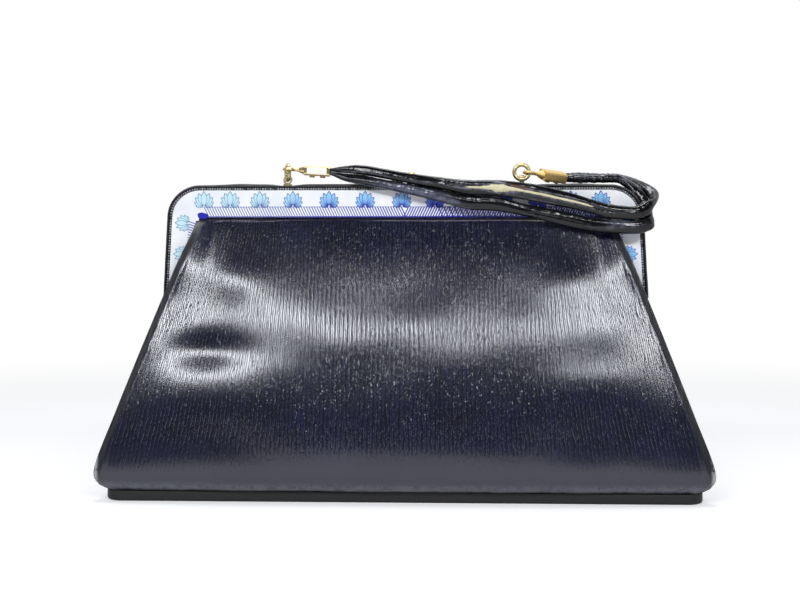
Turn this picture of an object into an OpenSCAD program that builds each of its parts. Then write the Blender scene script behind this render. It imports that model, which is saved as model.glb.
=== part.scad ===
// Vintage frame handbag: two hinged frame halves with printed plates and leather piping,
// a ribbed leather body on a stiff base, and a soft twin-roll handle on two ring posts.

/* [Base] */
// Width of the flat base slab
base_w = 292; // [240:1:340]
// Depth of the flat base slab, front to back
base_d = 69; // [50:1:90]
// Thickness of the leather under the base board
base_skin = 1.6; // [1:0.1:3]
// Thickness of the stiff base board
board_t = 3.2; // [2:0.1:5]
// Corner radius of the base slab
base_r = 9; // [3:0.5:20]

/* [Leather body] */
// Thickness of the ribbed leather
leather_t = 1.2; // [0.8:0.1:1.6]
// How far each leather panel stands past the base at its lower corners
corner_out = 7; // [3:0.5:12]
// How far the belly of a panel stands in front of the base slab
belly_out = 7; // [3:0.5:14]
// How far the gusset folds inwards below the hinge
gusset_fold = 12; // [4:0.5:15]
// Thickness of the cloth lining
lining_t = 0.5; // [0.3:0.1:0.8]
// Depth of the hollow below the left corner of a panel
dent_depth = 2.2; // [0:0.1:3]

/* [Frame] */
// Width over the leg ends of the frame, measured at the hinge
frame_w = 249; // [220:1:270]
// Height of the frame top above the table
frame_top = 158; // [145:1:180]
// Height of the hinge rivets above the table
hinge_z = 96; // [85:1:105]
// Outer corner radius of the frame
corner_r = 17; // [17:0.5:24]
// Angle by which each leg leans outwards
splay = 3.3; // [0:0.1:6]
// Depth of one half of the frame channel
channel_d = 5; // [4:0.1:7]
// Wall of the pressed metal channel
channel_wall = 0.9; // [0.6:0.1:1.1]
// Gap between the two closed halves
half_gap = 1; // [0.6:0.1:2]
// Diameter of the leather piping round the plate
piping_d = 2.6; // [2:0.1:3]
// Thickness of the leather strip over the frame edge
cover_t = 1.15; // [0.8:0.05:1.2]

/* [Printed plate] */
// Width of the printed plate
plate_w = 13.8; // [13:0.1:14.3]
// Thickness of the printed plate
plate_t = 1.2; // [0.8:0.1:2]
// Thickness of the printed colour
print_t = 0.12; // [0.1:0.01:0.3]
// Height of a leaf
leaf_h = 8; // [6:0.1:8.2]
// Width of the hatched band at the inner edge of the plate
hatch_w = 5.1; // [4:0.1:5.4]
// Distance between two hatch lines
hatch_pitch = 1.55; // [1.4:0.05:3]
// Width of one hatch line
hatch_line = 0.6; // [0.3:0.05:0.9]

/* [Hinge and clasp] */
// Diameter of a hinge rivet shank
rivet_d = 3; // [2:0.1:4]
// Running clearance of the ears on a rivet, on the radius
rivet_clear = 0.08; // [0.05:0.01:0.2]
// Thickness of a hinge ear
ear_t = 1.4; // [1:0.1:2]
// Diameter of a clasp ball
ball_d = 6.8; // [5:0.1:7]
// Gap between the two clasp balls
ball_gap = 0.3; // [0.2:0.05:1]

/* [Handle] */
// Distance of each ring post from the middle of the bag
post_x = 60; // [45:1:75]
// Outside diameter of a ring
ring_d = 9.6; // [9:0.1:12]
// Wire diameter of a ring
ring_wire = 2.1; // [1.8:0.1:2.3]
// Turn of the left ring about its post
left_turn = 18; // [0:1:40]
// Length of a gold clamp
clamp_l = 13; // [10:0.5:16]
// Height of a gold clamp
clamp_h = 5.1; // [4.5:0.1:6]
// Width of a gold clamp
clamp_w = 7.6; // [7:0.1:9]
// Wall of a gold clamp
clamp_wall = 0.7; // [0.5:0.1:0.9]
// Thickness of the soft handle
strap_t = 4.6; // [3.5:0.1:5]
// Width of the soft handle at its widest
strap_w = 17.6; // [15:0.1:18]
// How far the middle of the handle hangs below the frame top at the right corner
strap_drop = 17.6; // [15:0.1:19]
// Width of the soft handle, as a share of the drawn one
strap_fill = 0.96; // [0.8:0.01:0.98]
// How far the seam of the upper roll gapes
seam_gape = 0.55; // [0.2:0.05:0.7]

/* [Hidden] */

$fn = 48;
touch = 0.05;
soft_gap = 0.25;

navy = [0.09, 0.10, 0.24];
navy_dark = [0.05, 0.05, 0.10];
gold = [0.80, 0.62, 0.28];
enamel = [0.95, 0.95, 0.97];
cobalt = [0.10, 0.16, 0.72];
sky = [0.45, 0.68, 0.95];

base_top = base_skin + board_t;

// Radius of a hinge ear
ear_r = 5;

// Frame section, measured inwards from the outer edge and forwards from the middle plane
cover_in = 0.2;
channel_in = cover_in + cover_t + touch;
piping_in = piping_d / 2;
plate_in = piping_d + touch;
plate_inner = plate_in + plate_w;
channel_inner = plate_inner - 0.9;
channel_back = half_gap / 2;
channel_front = channel_back + channel_d;
plate_face = channel_front + plate_t;
piping_y = channel_front + touch + piping_d / 2;
leg_end = hinge_z + ear_r + 0.4;

corner_z = frame_top - corner_r;
corner_x = frame_w / 2 - (corner_r + (corner_z - hinge_z) * sin(splay)) / cos(splay);

// Points of the right half of the frame outline at an inset, from the leg end to the top
function frame_side(inset, end_z, steps = 10) =
    let (r = corner_r - inset)
    let (tangent_z = corner_z + r * sin(splay))
    let (drop = (tangent_z - end_z) / cos(splay))
    concat(
        [[corner_x + r * cos(splay) + drop * sin(splay), end_z]],
        [for (i = [0 : steps]) let (a = splay + (90 - splay) * i / steps)
            [corner_x + r * cos(a), corner_z + r * sin(a)]]);

function flip(points) = [for (i = [len(points) - 1 : -1 : 0]) [-points[i].x, points[i].y]];
function frame_line(inset, end_z) =
    let (side = frame_side(inset, end_z)) concat(side, flip(side));
function reversed(points) = [for (i = [len(points) - 1 : -1 : 0]) points[i]];

// A flat band that follows the frame between two insets
module frame_band(outer, inner, end_z) {
    polygon(concat(frame_line(outer, end_z), reversed(frame_line(inner, end_z))));
}

// Extrudes an upright outline forwards, from one distance off the middle plane to another
module upright(from_y, to_y) {
    translate([0, -from_y, 0]) rotate([90, 0, 0]) linear_extrude(to_y - from_y) children();
}

module back_copy() {
    mirror([0, 1, 0]) children();
}

// Smooth curve through a list of points, with t from 0 to the last index
function spline(p, t) =
    let (n = len(p), i = max(0, min(floor(t), n - 2)), f = t - i)
    let (a = p[max(i - 1, 0)], b = p[i], c = p[i + 1], d = p[min(i + 2, n - 1)])
    0.5 * (2 * b + (c - a) * f + (2 * a - 5 * b + 4 * c - d) * f * f
        + (3 * b - a - 3 * c + d) * f * f * f);

// Closed sheet between two grids of points that have the same number of rows and columns
module sheet(outside, inside) {
    rows = len(outside);
    cols = len(outside[0]);
    all_points = concat([for (r = outside) each r], [for (r = inside) each r]);
    k = rows * cols;
    quads = [for (i = [0 : rows - 2], j = [0 : cols - 2]) [i, j]];
    polyhedron(all_points, concat(
        [for (q = quads) let (a = q[0] * cols + q[1])
            each [[a, a + 1, a + cols + 1], [a, a + cols + 1, a + cols]]],
        [for (q = quads) let (a = k + q[0] * cols + q[1])
            each [[a, a + cols + 1, a + 1], [a, a + cols, a + cols + 1]]],
        [for (j = [0 : cols - 2]) each [[j + 1, j, k + j], [j + 1, k + j, k + j + 1]]],
        [for (j = [0 : cols - 2]) let (a = (rows - 1) * cols + j)
            each [[a, a + 1, k + a + 1], [a, k + a + 1, k + a]]],
        [for (i = [0 : rows - 2]) let (a = i * cols)
            each [[a, a + cols, k + a + cols], [a, k + a + cols, k + a]]],
        [for (i = [0 : rows - 2]) let (a = i * cols + cols - 1)
            each [[a + cols, a, k + a], [a + cols, k + a, k + a + cols]]]));
}

// Closed tube through rings of points that all have the same number of corners
module tube(rings) {
    n = len(rings[0]);
    m = len(rings);
    polyhedron([for (r = rings) each r], concat(
        [[for (j = [n - 1 : -1 : 0]) j]],
        [for (i = [0 : m - 2], j = [0 : n - 1]) let (a = i * n + j, b = i * n + (j + 1) % n)
            each [[a, b, b + n], [a, b + n, a + n]]],
        [[for (j = [0 : n - 1]) (m - 1) * n + j]]));
}

// Leather panel: profile at the middle and along the slanted edge, from the frame to the base.
// Both have the same number of points, so a point of one matches a point of the other.
tongue_y = channel_front - channel_wall - 0.3;
mouth_z = frame_top - plate_inner;
low_y = base_d / 2;
low_x = base_w / 2;
edge_slope = (low_x + corner_out - frame_w / 2) / (hinge_z - 17);
shoulder_down = 24;
belly_down = 52;
panel_mid = [
    [tongue_y, mouth_z + 7.5],
    [tongue_y + 0.1, mouth_z + 1],
    [plate_face + 1.6, mouth_z - 3.6],
    [plate_face + 9.3, mouth_z - 19.6],
    [low_y - 9, hinge_z + 2],
    [low_y - 1.5, hinge_z - shoulder_down],
    [low_y + belly_out * 0.65, hinge_z - belly_down],
    [low_y + belly_out, 18],
    [low_y + belly_out * 0.7, base_top + 3],
    [low_y - 1.2, base_top + 0.3]];
panel_edge = [
    [frame_w / 2 - 21, tongue_y, mouth_z + 7.5],
    [frame_w / 2 - 21, tongue_y + 0.1, mouth_z + 1],
    [frame_w / 2 - 18.7, plate_face + 2.6, mouth_z - 4.2],
    [frame_w / 2 - 11.3, plate_face + 4.6, mouth_z - 20.6],
    [frame_w / 2 - 0.9, plate_face + 8.8, hinge_z + 2],
    [frame_w / 2 + edge_slope * shoulder_down, low_y - 11, hinge_z - shoulder_down],
    [frame_w / 2 + edge_slope * belly_down, low_y - 3.5, hinge_z - belly_down],
    [low_x + corner_out, low_y + 1.5, 17],
    [low_x + corner_out * 0.7, low_y + 0.5, base_top + 3.2],
    [low_x - 1, low_y - 2, base_top + 0.3]];
panel_last = len(panel_mid) - 1;
panel_cols = 26;
panel_rows = 27;

// Hollows and soft folds that the leather has taken: [x, z, width, height, depth]
dents = [
    [-98, hinge_z - 14, 34, 7, 1],
    [-70, hinge_z - 34, 46, 10, -0.5],
    [-100, hinge_z + 21, 14, 9, -0.35],
    [100, hinge_z - 12, 32, 14, -0.6],
    [112, hinge_z - 42, 18, 8, 0.5],
    [0, hinge_z + 2, 62, 13, 0.35]];
function dent(x, z) = dent_depth * sum_of([for (d = dents)
    d[4] * exp(-pow((x - d[0]) / d[2], 2) * 2 - pow((z - d[1]) / d[3], 2))]);
function sum_of(v, i = 0) = i >= len(v) ? 0 : v[i] + sum_of(v, i + 1);

// Point of the front panel's outer face, with u from -1 to 1 and v from frame to base
function panel_raw(u, v) =
    let (m = spline(panel_mid, v), e = spline(panel_edge, v), k = pow(abs(u), 2.6))
    [u * e[0], -(m[0] + (e[1] - m[0]) * k), m[1] + (e[2] - m[1]) * k];
function panel_face(u, v) =
    let (p = panel_raw(u, v), free = (v > 2 ? min(1, (v - 2) / 1.5) : 0) * (1 - pow(abs(u), 8)))
    [p[0], p[1] + free * dent(p[0], p[2]), p[2]];
function panel_normal(u, v) =
    let (du = 0.01, dv = 0.02)
    let (u1 = min(1, u + du), u0 = max(-1, u - du))
    let (v1 = min(panel_last, v + dv), v0 = max(0, v - dv))
    let (n = cross(panel_face(u, v1) - panel_face(u, v0), panel_face(u1, v) - panel_face(u0, v)))
    n / norm(n);
function panel_grid(depth) = [for (i = [0 : panel_rows - 1])
    [for (j = [0 : panel_cols - 1])
        let (u = -1 + 2 * j / (panel_cols - 1), v = panel_last * i / (panel_rows - 1))
        panel_face(u, v) - depth * panel_normal(u, v)]];

module front_panel() {
    color(navy) sheet(panel_grid(0), panel_grid(leather_t));
}

module back_panel() {
    color(navy) back_copy() front_panel();
}

// Gusset: hangs below the hinge between the edges of the panels and folds inwards
gusset_from = 4.25;
gusset_rows = 15;
gusset_cols = 9;
fold_share = [[0, 1], [0.25, 0.85], [0.55, 0.45], [0.8, 0.2], [1, 0]];
function gusset_face(t, s, depth) =
    let (e = spline(panel_edge, gusset_from + (panel_last - gusset_from) * s))
    let (fold = gusset_fold * lookup(s, fold_share))
    [e[0] - 0.6 - depth - fold * (1 - t * t),
        t * (e[1] - leather_t - soft_gap - 0.1),
        e[2] + (s > 0.9 ? depth * (s - 0.9) * 10 : 0)];
function gusset_grid(depth) = [for (i = [0 : gusset_rows - 1])
    [for (j = [0 : gusset_cols - 1])
        gusset_face(-1 + 2 * j / (gusset_cols - 1), i / (gusset_rows - 1), depth)]];

module right_gusset() {
    color(navy_dark) sheet(gusset_grid(0), gusset_grid(leather_t));
}

module left_gusset() {
    color(navy_dark) mirror([1, 0, 0]) sheet(gusset_grid(0), gusset_grid(leather_t));
}

// Lining: one half, sewn to the other along the side and base seams
lining_side = 16;
lining_cols = 21;
lining_rows = 15;
lining_floor = base_top + leather_t + 0.9;
function lining_face(w, v, depth) =
    let (u = max(-1, min(1, w)), side = max(0, abs(w) - 1) / 0.25)
    let (e = spline(panel_edge, v), f = panel_raw(u * 0.9, v))
    let (gap = v < 1.6 ? 1.75 : 2.9)
    let (y = f[1] + gap + depth, turn = v < 1.5 ? 0 : side)
    [u * (e[0] - lining_side - depth), y + (-touch * 2 - y) * turn,
        max(f[2], lining_floor + depth)];
function lining_grid(depth) = concat(
    [for (i = [0 : lining_rows - 1]) [for (j = [0 : lining_cols - 1])
        lining_face(-1.25 + 2.5 * j / (lining_cols - 1), (panel_last - 1) * i / (lining_rows - 1),
            depth)]],
    [[for (j = [0 : lining_cols - 1])
        let (p = lining_face(-1.25 + 2.5 * j / (lining_cols - 1), panel_last - 1, depth))
        [p[0], -touch * 2, lining_floor + depth]]]);

module front_lining() {
    color("dimgray") sheet(lining_grid(0), lining_grid(lining_t));
}

module back_lining() {
    color("dimgray") back_copy() front_lining();
}

module base_outline(inset) {
    x = base_w / 2 - base_r;
    y = base_d / 2 - base_r;
    square([2 * x, base_d - 2 * inset], center = true);
    square([base_w - 2 * inset, 2 * y], center = true);
    for (sx = [-1, 1], sy = [-1, 1])
        translate([sx * x, sy * y]) circle(base_r - inset);
}

module base_panel() {
    color(navy_dark) linear_extrude(base_skin) base_outline(0);
}

module base_board() {
    color("saddlebrown") translate([0, 0, base_skin]) linear_extrude(board_t) base_outline(0.4);
}

// Pressed channel with a pocket for the leather
pocket_back = channel_back + channel_wall;
pocket_front = channel_front - channel_wall;
module front_channel() {
    color(gold) difference() {
        upright(channel_back, channel_front) frame_band(channel_in, channel_inner, leg_end);
        upright(pocket_back, pocket_front)
            frame_band(channel_in + channel_wall, channel_inner + 4, leg_end - 1);
    }
}

module back_channel() {
    color(gold) back_copy() front_channel();
}

// Hinge ears: flat plates that fit the pockets of the two legs and turn on the rivets
rivet_x = frame_w / 2 - 9;
ear_tang = 9;
module hinge_ears(x) {
    for (s = [-1, 1])
        translate([s * x - ear_t / 2, 0, 0]) rotate([90, 0, 90]) linear_extrude(ear_t)
            difference() {
                union() {
                    translate([0, hinge_z]) circle(ear_r);
                    polygon([[-pocket_front + touch, leg_end + ear_tang],
                        [-pocket_back - touch, leg_end + ear_tang],
                        [-pocket_back - touch, hinge_z + 4], [-0.84 * ear_r, hinge_z + 2]]);
                }
                translate([0, hinge_z]) circle(rivet_d / 2 + rivet_clear);
            }
}

module front_hinge_ears() {
    color(gold) hinge_ears(rivet_x - ear_t / 2 - touch);
}

module back_hinge_ears() {
    color(gold) back_copy() hinge_ears(rivet_x + ear_t / 2 + touch);
}

module hinge_rivet() {
    head_t = 1;
    shank = 2 * ear_t + 4 * touch;
    rotate([0, 90, 0]) {
        cylinder(h = shank, d = rivet_d, center = true);
        for (s = [-1, 1])
            translate([0, 0, s * (shank + head_t) / 2]) cylinder(h = head_t, r = 2.6, center = true);
    }
}

module right_hinge_rivet() {
    color(gold) translate([rivet_x, 0, hinge_z]) hinge_rivet();
}

module left_hinge_rivet() {
    color(gold) translate([-rivet_x, 0, hinge_z]) hinge_rivet();
}

module front_cover() {
    color(navy_dark) upright(channel_back - 0.2, channel_front)
        frame_band(cover_in, cover_in + cover_t, leg_end - 1);
}

module back_cover() {
    color(navy_dark) back_copy() front_cover();
}

// Piping: a round bead that follows the frame just outside the plate
piping_sides = 10;
piping_path = frame_line(piping_in, leg_end - 1);
function path_normal(p, i) =
    let (a = p[max(i - 1, 0)], b = p[min(i + 1, len(p) - 1)], d = (b - a) / norm(b - a))
    [d.y, -d.x];

module front_piping() {
    color(navy_dark) tube([for (i = [0 : len(piping_path) - 1])
        let (c = piping_path[i], n = path_normal(piping_path, i))
        [for (k = [0 : piping_sides - 1])
            let (a = 360 * k / piping_sides, out = piping_d / 2 * cos(a))
            [c.x + n.x * out, -piping_y + piping_d / 2 * sin(a), c.y + n.y * out]]]);
}

module back_piping() {
    color(navy_dark) back_copy() front_piping();
}

module front_plate() {
    color(enamel) upright(channel_front, plate_face)
        frame_band(plate_in, plate_inner, leg_end);
}

module back_plate() {
    color(enamel) back_copy() front_plate();
}

// One leaf of seven pointed petals, standing on its foot at the origin
leaf_lift = leaf_h / 6;
leaf_reach = leaf_h - leaf_lift;
foot_half = leaf_reach * 0.16;
petals = [for (i = [-3 : 3])
    [90 - i * 33, leaf_reach * (1 - 0.075 * abs(i) - (abs(i) == 3 ? 0.12 : 0))]];
function petal_points(angle, reach) = [
    for (s = [[0.38, -16.5], [0.62, -13.5], [1, 0], [0.62, 13.5]])
        let (a = angle - s[1]) reach * s[0] * [cos(a), sin(a)]];
module leaf() {
    translate([0, leaf_lift]) polygon(concat([for (p = petals) each petal_points(p[0], p[1])],
        [[foot_half, -leaf_lift], [-foot_half, -leaf_lift]]));
}

// Leaves stand closer together near the corners and go on down the legs
leaf_step = corner_x * 0.17163;
function leaf_x(i) = leaf_step * (i - (i > 3 ? 0.05 * pow(i - 3, 2) : 0));
leaf_foot = plate_inner - hatch_w - 0.5;
leg_leaves = [19.5, 35.5, 51.5];
module leaves() {
    for (i = [0 : 6], s = i == 0 ? [1] : [-1, 1])
        translate([s * leaf_x(i), frame_top - leaf_foot]) rotate(i == 6 ? -s * 12 : 0) leaf();
    for (drop = leg_leaves, s = [-1, 1]) {
        side = frame_side(leaf_foot, frame_top - drop);
        translate([s * side[0].x, side[0].y]) rotate(-s * (90 - splay)) leaf();
    }
}

module front_leaves() {
    color(sky) upright(plate_face, plate_face + print_t) leaves();
}

module back_leaves() {
    color(sky) back_copy() front_leaves();
}

// Hatched band: a thin line at its outer edge, a stronger one at its inner edge
band_top = plate_inner - hatch_w;
line_top = 0.4;
line_low = 0.5;
hatch_h = hatch_w - line_top - line_low - 2 * touch;
hatch_lean = hatch_h * 0.62;
module hatch_stripe() {
    polygon([[0, 0], [hatch_line, 0], [hatch_line - hatch_lean, hatch_h],
        [-hatch_lean, hatch_h]]);
}

module hatch() {
    frame_band(band_top, band_top + line_top, leg_end);
    frame_band(plate_inner - line_low, plate_inner, leg_end);
    stripe_low = frame_top - plate_inner + line_low + touch;
    half_run = corner_x - hatch_lean;
    count = floor(half_run / hatch_pitch);
    leg_run = mouth_z - leg_end - 4;
    for (s = [0, 1]) mirror([s, 0]) {
        for (i = [0 : count - 1])
            translate([-hatch_pitch * (i + 0.4), stripe_low]) hatch_stripe();
        inner = frame_side(plate_inner - line_low - touch, leg_end + 1)[0];
        translate(inner) rotate(90 + splay)
            for (i = [0 : floor(leg_run / hatch_pitch) - 1])
                translate([hatch_pitch * i + hatch_lean, -hatch_h]) hatch_stripe();
    }
}

module front_hatch() {
    color(cobalt) upright(plate_face, plate_face + print_t) hatch();
}

module back_hatch() {
    color(cobalt) back_copy() front_hatch();
}

// Clasp: one ball on each half, side by side, each leaning over the other half
half_mid = channel_back + channel_d / 2;
cover_top = frame_top - cover_in;
ball_x = (ball_d + ball_gap) / 2;
module clasp_part() {
    lean = half_mid + 0.8;
    ball_z = ball_d / 2 + 0.35;
    neck_r = 1.3;
    translate([-ball_x, -half_mid, cover_top]) {
        cylinder(h = 0.8, r = 2.1);
        cylinder(h = ball_z, r = neck_r);
        translate([0, 0, ball_z]) sphere(r = neck_r);
        translate([0, 0, ball_z]) rotate([-90, 0, 0]) cylinder(h = lean, r = neck_r);
        translate([0, lean, ball_z]) sphere(d = ball_d);
    }
}

module front_clasp() {
    color(gold) clasp_part();
}

module back_clasp() {
    color(gold) rotate([0, 0, 180]) clasp_part();
}

// Ring post: a foot with an eye that holds the wire of the ring
eye_bore = ring_wire / 2 + 0.45;
eye_r = eye_bore + 0.75;
eye_l = 2.4;
foot_h = 0.9;
eye_z = cover_top + foot_h + eye_r - 0.1;
ring_major = (ring_d - ring_wire) / 2;
ring_z = eye_z + ring_major;
module ring_post(x, turn) {
    translate([x, -half_mid, 0]) rotate([0, 0, turn]) difference() {
        union() {
            translate([0, 0, cover_top]) cylinder(h = foot_h, r = 2.3);
            translate([0, 0, eye_z]) rotate([90, 0, 0]) cylinder(h = eye_l, r = eye_r, center = true);
        }
        translate([0, 0, eye_z]) rotate([90, 0, 0])
            cylinder(h = eye_l + 1, r = eye_bore, center = true);
    }
}

module ring(x, turn) {
    translate([x, -half_mid, ring_z]) rotate([0, 0, turn]) rotate([0, 90, 0])
        rotate_extrude() translate([ring_major, 0]) circle(d = ring_wire, $fn = 24);
}

right_turn = 90;
module left_ring_post() {
    color(gold) ring_post(-post_x, left_turn);
}

module right_ring_post() {
    color(gold) ring_post(post_x, right_turn);
}

module left_ring() {
    color(gold) ring(-post_x, left_turn);
}

module right_ring() {
    color(gold) ring(post_x, right_turn);
}

// Hook: a loop round the wire of the ring, a thin neck and a cone that meets the clamp
loop_minor = 0.8;
loop_major = ring_wire / 2 + loop_minor + 0.65;
neck_l = 4.9;
cone_l = 3.3;
clamp_from = neck_l + cone_l;
module hook() {
    rotate_extrude() translate([loop_major, 0]) circle(r = loop_minor, $fn = 24);
    rotate([0, 90, 0]) {
        translate([0, 0, loop_major]) cylinder(h = neck_l - loop_major + 0.2, r = loop_minor + 0.1);
        translate([0, 0, neck_l]) cylinder(h = cone_l, r1 = 1, r2 = 2.3);
    }
}

// Clamp: a folded gold ferrule, open towards the handle, with two rivets underneath
module clamp_section(height, width, r) {
    square([width - 2 * r, height], center = true);
    square([width, height - 2 * r], center = true);
    for (sx = [-1, 1], sy = [-1, 1])
        translate([sx * (width / 2 - r), sy * (height / 2 - r)]) circle(r, $fn = 24);
}

clamp_rivets = [0.3, 0.72];
clamp_rivet_r = 0.7;
module clamp() {
    difference() {
        translate([clamp_from, 0, 0]) rotate([90, 0, 90]) linear_extrude(clamp_l)
            clamp_section(clamp_h, clamp_w, 1.2);
        translate([clamp_from + 1.2, 0, 0]) rotate([90, 0, 90]) linear_extrude(clamp_l)
            clamp_section(clamp_h - 2 * clamp_wall, clamp_w - 2 * clamp_wall, 0.6);
        for (s = clamp_rivets) translate([clamp_from + s * clamp_l, 0, -clamp_h])
            cylinder(h = clamp_h, r = clamp_rivet_r + touch);
    }
}

module clamp_rivet_pair() {
    for (s = clamp_rivets) translate([clamp_from + s * clamp_l, 0, -clamp_h / 2 - 0.9]) {
        cylinder(h = 0.85, r = 1.4);
        cylinder(h = 0.9 + clamp_wall, r = clamp_rivet_r);
    }
}

// Places of the two hooks: how high on the ring, which way, and how far the clamp dips
left_rise = 24;
left_dip = 3.5;
right_rise = -6;
right_heading = 30;
right_dip = 5;
right_roll = 20;
left_reach = ring_major * cos(left_rise);
left_hook_at = [-post_x + left_reach * sin(left_turn), -half_mid - left_reach * cos(left_turn),
    ring_z + ring_major * sin(left_rise)];
right_hook_at = [post_x + ring_major * cos(right_rise), -half_mid,
    ring_z + ring_major * sin(right_rise)];
left_way = [cos(left_dip), 0, -sin(left_dip)];
right_way = [cos(right_heading) * cos(right_dip), sin(right_heading) * cos(right_dip),
    -sin(right_dip)];
module at_left_hook() {
    translate(left_hook_at) rotate([0, left_dip, 0]) children();
}

module at_right_hook() {
    translate(right_hook_at) rotate([0, 0, right_heading]) rotate([0, right_dip, 0]) children();
}

module left_hook() {
    color(gold) at_left_hook() hook();
}

module left_clamp() {
    color(gold) at_left_hook() clamp();
}

module left_clamp_rivets() {
    color(gold) at_left_hook() clamp_rivet_pair();
}

module right_hook() {
    color(gold) at_right_hook() hook();
}

module right_clamp() {
    color(gold) at_right_hook() rotate([right_roll, 0, 0]) clamp();
}

module right_clamp_rivets() {
    color(gold) at_right_hook() rotate([right_roll, 0, 0]) clamp_rivet_pair();
}

// Handle: the route of its middle line from the left clamp to the right one, in front of the
// frame, round its right corner and back along its top. Each row holds place, width,
// thickness, the direction of the width, and how far the seam gapes.
corner_out_x = frame_w / 2 - 3;
front_y = -piping_y - piping_d / 2 - strap_t / 2 - 1;
lie_z = frame_top + strap_t / 2 + 0.75;
tuck = 6;
left_end = left_hook_at + left_way * (clamp_from + clamp_l);
right_end = right_hook_at + right_way * (clamp_from + clamp_l);
inside_h = clamp_h - 2 * clamp_wall - 0.2;
inside_w = clamp_w - 2 * clamp_wall - 0.2;
clamp_across = [-sin(right_heading) * cos(right_roll), cos(right_heading) * cos(right_roll),
    sin(right_roll)];
function front_x(share) = left_end.x + (corner_out_x - 9.5 - left_end.x) * share;
function back_x(share) = right_end.x + (corner_out_x - right_end.x) * share;
function front_row(share, ahead, drop, wide, lean, gape) =
    [[front_x(share), front_y - ahead, frame_top - strap_drop * drop], strap_w * wide, strap_t,
        [0, lean, 1], gape];
route = [
    [left_end - left_way * tuck, inside_h, inside_w, [0, 0, 1], 0],
    [left_end, inside_h, inside_w, [0, 0, 1], 0],
    [left_end + [8, -1.6, -1], strap_w * 0.46, strap_t + 0.2, [0, 0.1, 1], 0],
    front_row(0.119, -1.2, -0.265, 0.59, 0.15, 0),
    front_row(0.252, 0, -0.05, 0.62, 0.1, 0),
    front_row(0.372, 0.2, 0.145, 0.73, 0.05, 0),
    front_row(0.472, 0.3, 0.3, 0.875, 0, 0.6),
    front_row(0.579, 0.5, 0.34, 0.94, 0, 1),
    front_row(0.686, 0.9, 0.48, 1, 0, 0.7),
    front_row(0.813, 1.9, 0.75, 0.99, 0, 0.6),
    front_row(0.92, 3.2, 0.97, 0.875, 0, 0.2),
    front_row(1, 3.6, 1.04, 0.83, 0, 0),
    [[corner_out_x - 2.6, front_y - 2.9, frame_top - strap_drop * 1.04], strap_w * 0.83, strap_t,
        [0, 0.05, 1], 0],
    [[corner_out_x + 4.4, -11.2, frame_top - strap_drop * 0.9], strap_w * 0.85, strap_t,
        [0.1, 0.15, 1], 0],
    [[corner_out_x + 7.0, -5.7, frame_top - strap_drop * 0.67], strap_w * 0.88, strap_t,
        [0.25, 0.3, 0.95], 0],
    [[corner_out_x + 5.7, 0.2, frame_top - strap_drop * 0.3], strap_w * 0.92, strap_t,
        [0.4, 0.55, 0.72], 0],
    [[corner_out_x + 0.2, 4.6, frame_top + 0.7], strap_w * 0.94, strap_t, [0.35, 0.95, 0.3], 0],
    [[back_x(0.78), 6.3, lie_z + 0.8], strap_w * 0.93, strap_t, [0, 1, 0.1], 0],
    [[back_x(0.5), 7.2, lie_z + 0.9], strap_w * 0.83, strap_t, [0, 1, 0.1], 0],
    [[back_x(0.215), 8.2, lie_z + 1.2], strap_w * 0.6, strap_t, [-0.2, 1, 0.2], 0],
    [right_end, inside_w, inside_h, clamp_across, 0],
    [right_end - right_way * tuck, inside_w, inside_h, clamp_across, 0]];
route_last = len(route) - 1;
ring_count = 58;
roll_sides = 16;

function place(t) = spline([for (r = route) r[0]], t);
function along(t) =
    let (d = place(min(route_last, t + 0.05)) - place(max(0, t - 0.05))) d / norm(d);
function width_way(t) =
    let (w = spline([for (r = route) r[3]], t), a = along(t), s = w - a * (w * a)) s / norm(s);
function gape(t) = max(0, spline([for (r = route) r[4]], t));
function roll_point(t, side, angle, share) =
    let (w = width_way(t), n = cross(along(t), w))
    let (width = spline([for (r = route) r[1]], t) * strap_fill)
    let (thick = spline([for (r = route) r[2]], t))
    place(t) + w * side * width / 4
        - w * (width / 4 - touch * 1.5) * sin(angle) * share
        + n * thick / 2 * cos(angle) * share;
function notch(t, k, side) = side > 0 && k == 0 ? 1 - seam_gape * gape(t) : 1;

module roll(side) {
    tube([for (i = [0 : ring_count]) let (t = route_last * i / ring_count)
        [for (k = [0 : roll_sides - 1])
            roll_point(t, side, 360 * k / roll_sides, notch(t, k, side))]]);
}

module upper_roll() {
    color(navy_dark) roll(1);
}

module lower_roll() {
    color(navy_dark) roll(-1);
}

// Pale core that shows where the seam of the upper roll has opened far enough
core_from = 0.4;
core_steps = [for (i = [0 : ring_count]) let (t = route_last * i / ring_count)
    if (gape(t) > core_from) t];
module handle_core() {
    step = 360 / roll_sides;
    color("khaki") tube([for (t = core_steps) let (low = 1 - seam_gape * gape(t))
        [roll_point(t, 1, 0, low + 0.06), roll_point(t, 1, step * 0.7, 0.2 * low + 0.78),
            roll_point(t, 1, 0, 0.93), roll_point(t, 1, -step * 0.7, 0.2 * low + 0.78)]]);
}

base_panel();
base_board();
front_panel();
back_panel();
left_gusset();
right_gusset();
front_lining();
back_lining();
left_hinge_rivet();
right_hinge_rivet();
front_channel();
front_hinge_ears();
front_cover();
front_piping();
front_plate();
front_leaves();
front_hatch();
front_clasp();
back_channel();
back_hinge_ears();
back_cover();
back_piping();
back_plate();
back_leaves();
back_hatch();
back_clasp();
left_ring_post();
right_ring_post();
left_ring();
right_ring();
left_hook();
left_clamp();
left_clamp_rivets();
right_hook();
right_clamp();
right_clamp_rivets();
upper_roll();
lower_roll();
handle_core();
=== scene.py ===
import math
import bpy
from mathutils import Matrix, Vector, noise


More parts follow.
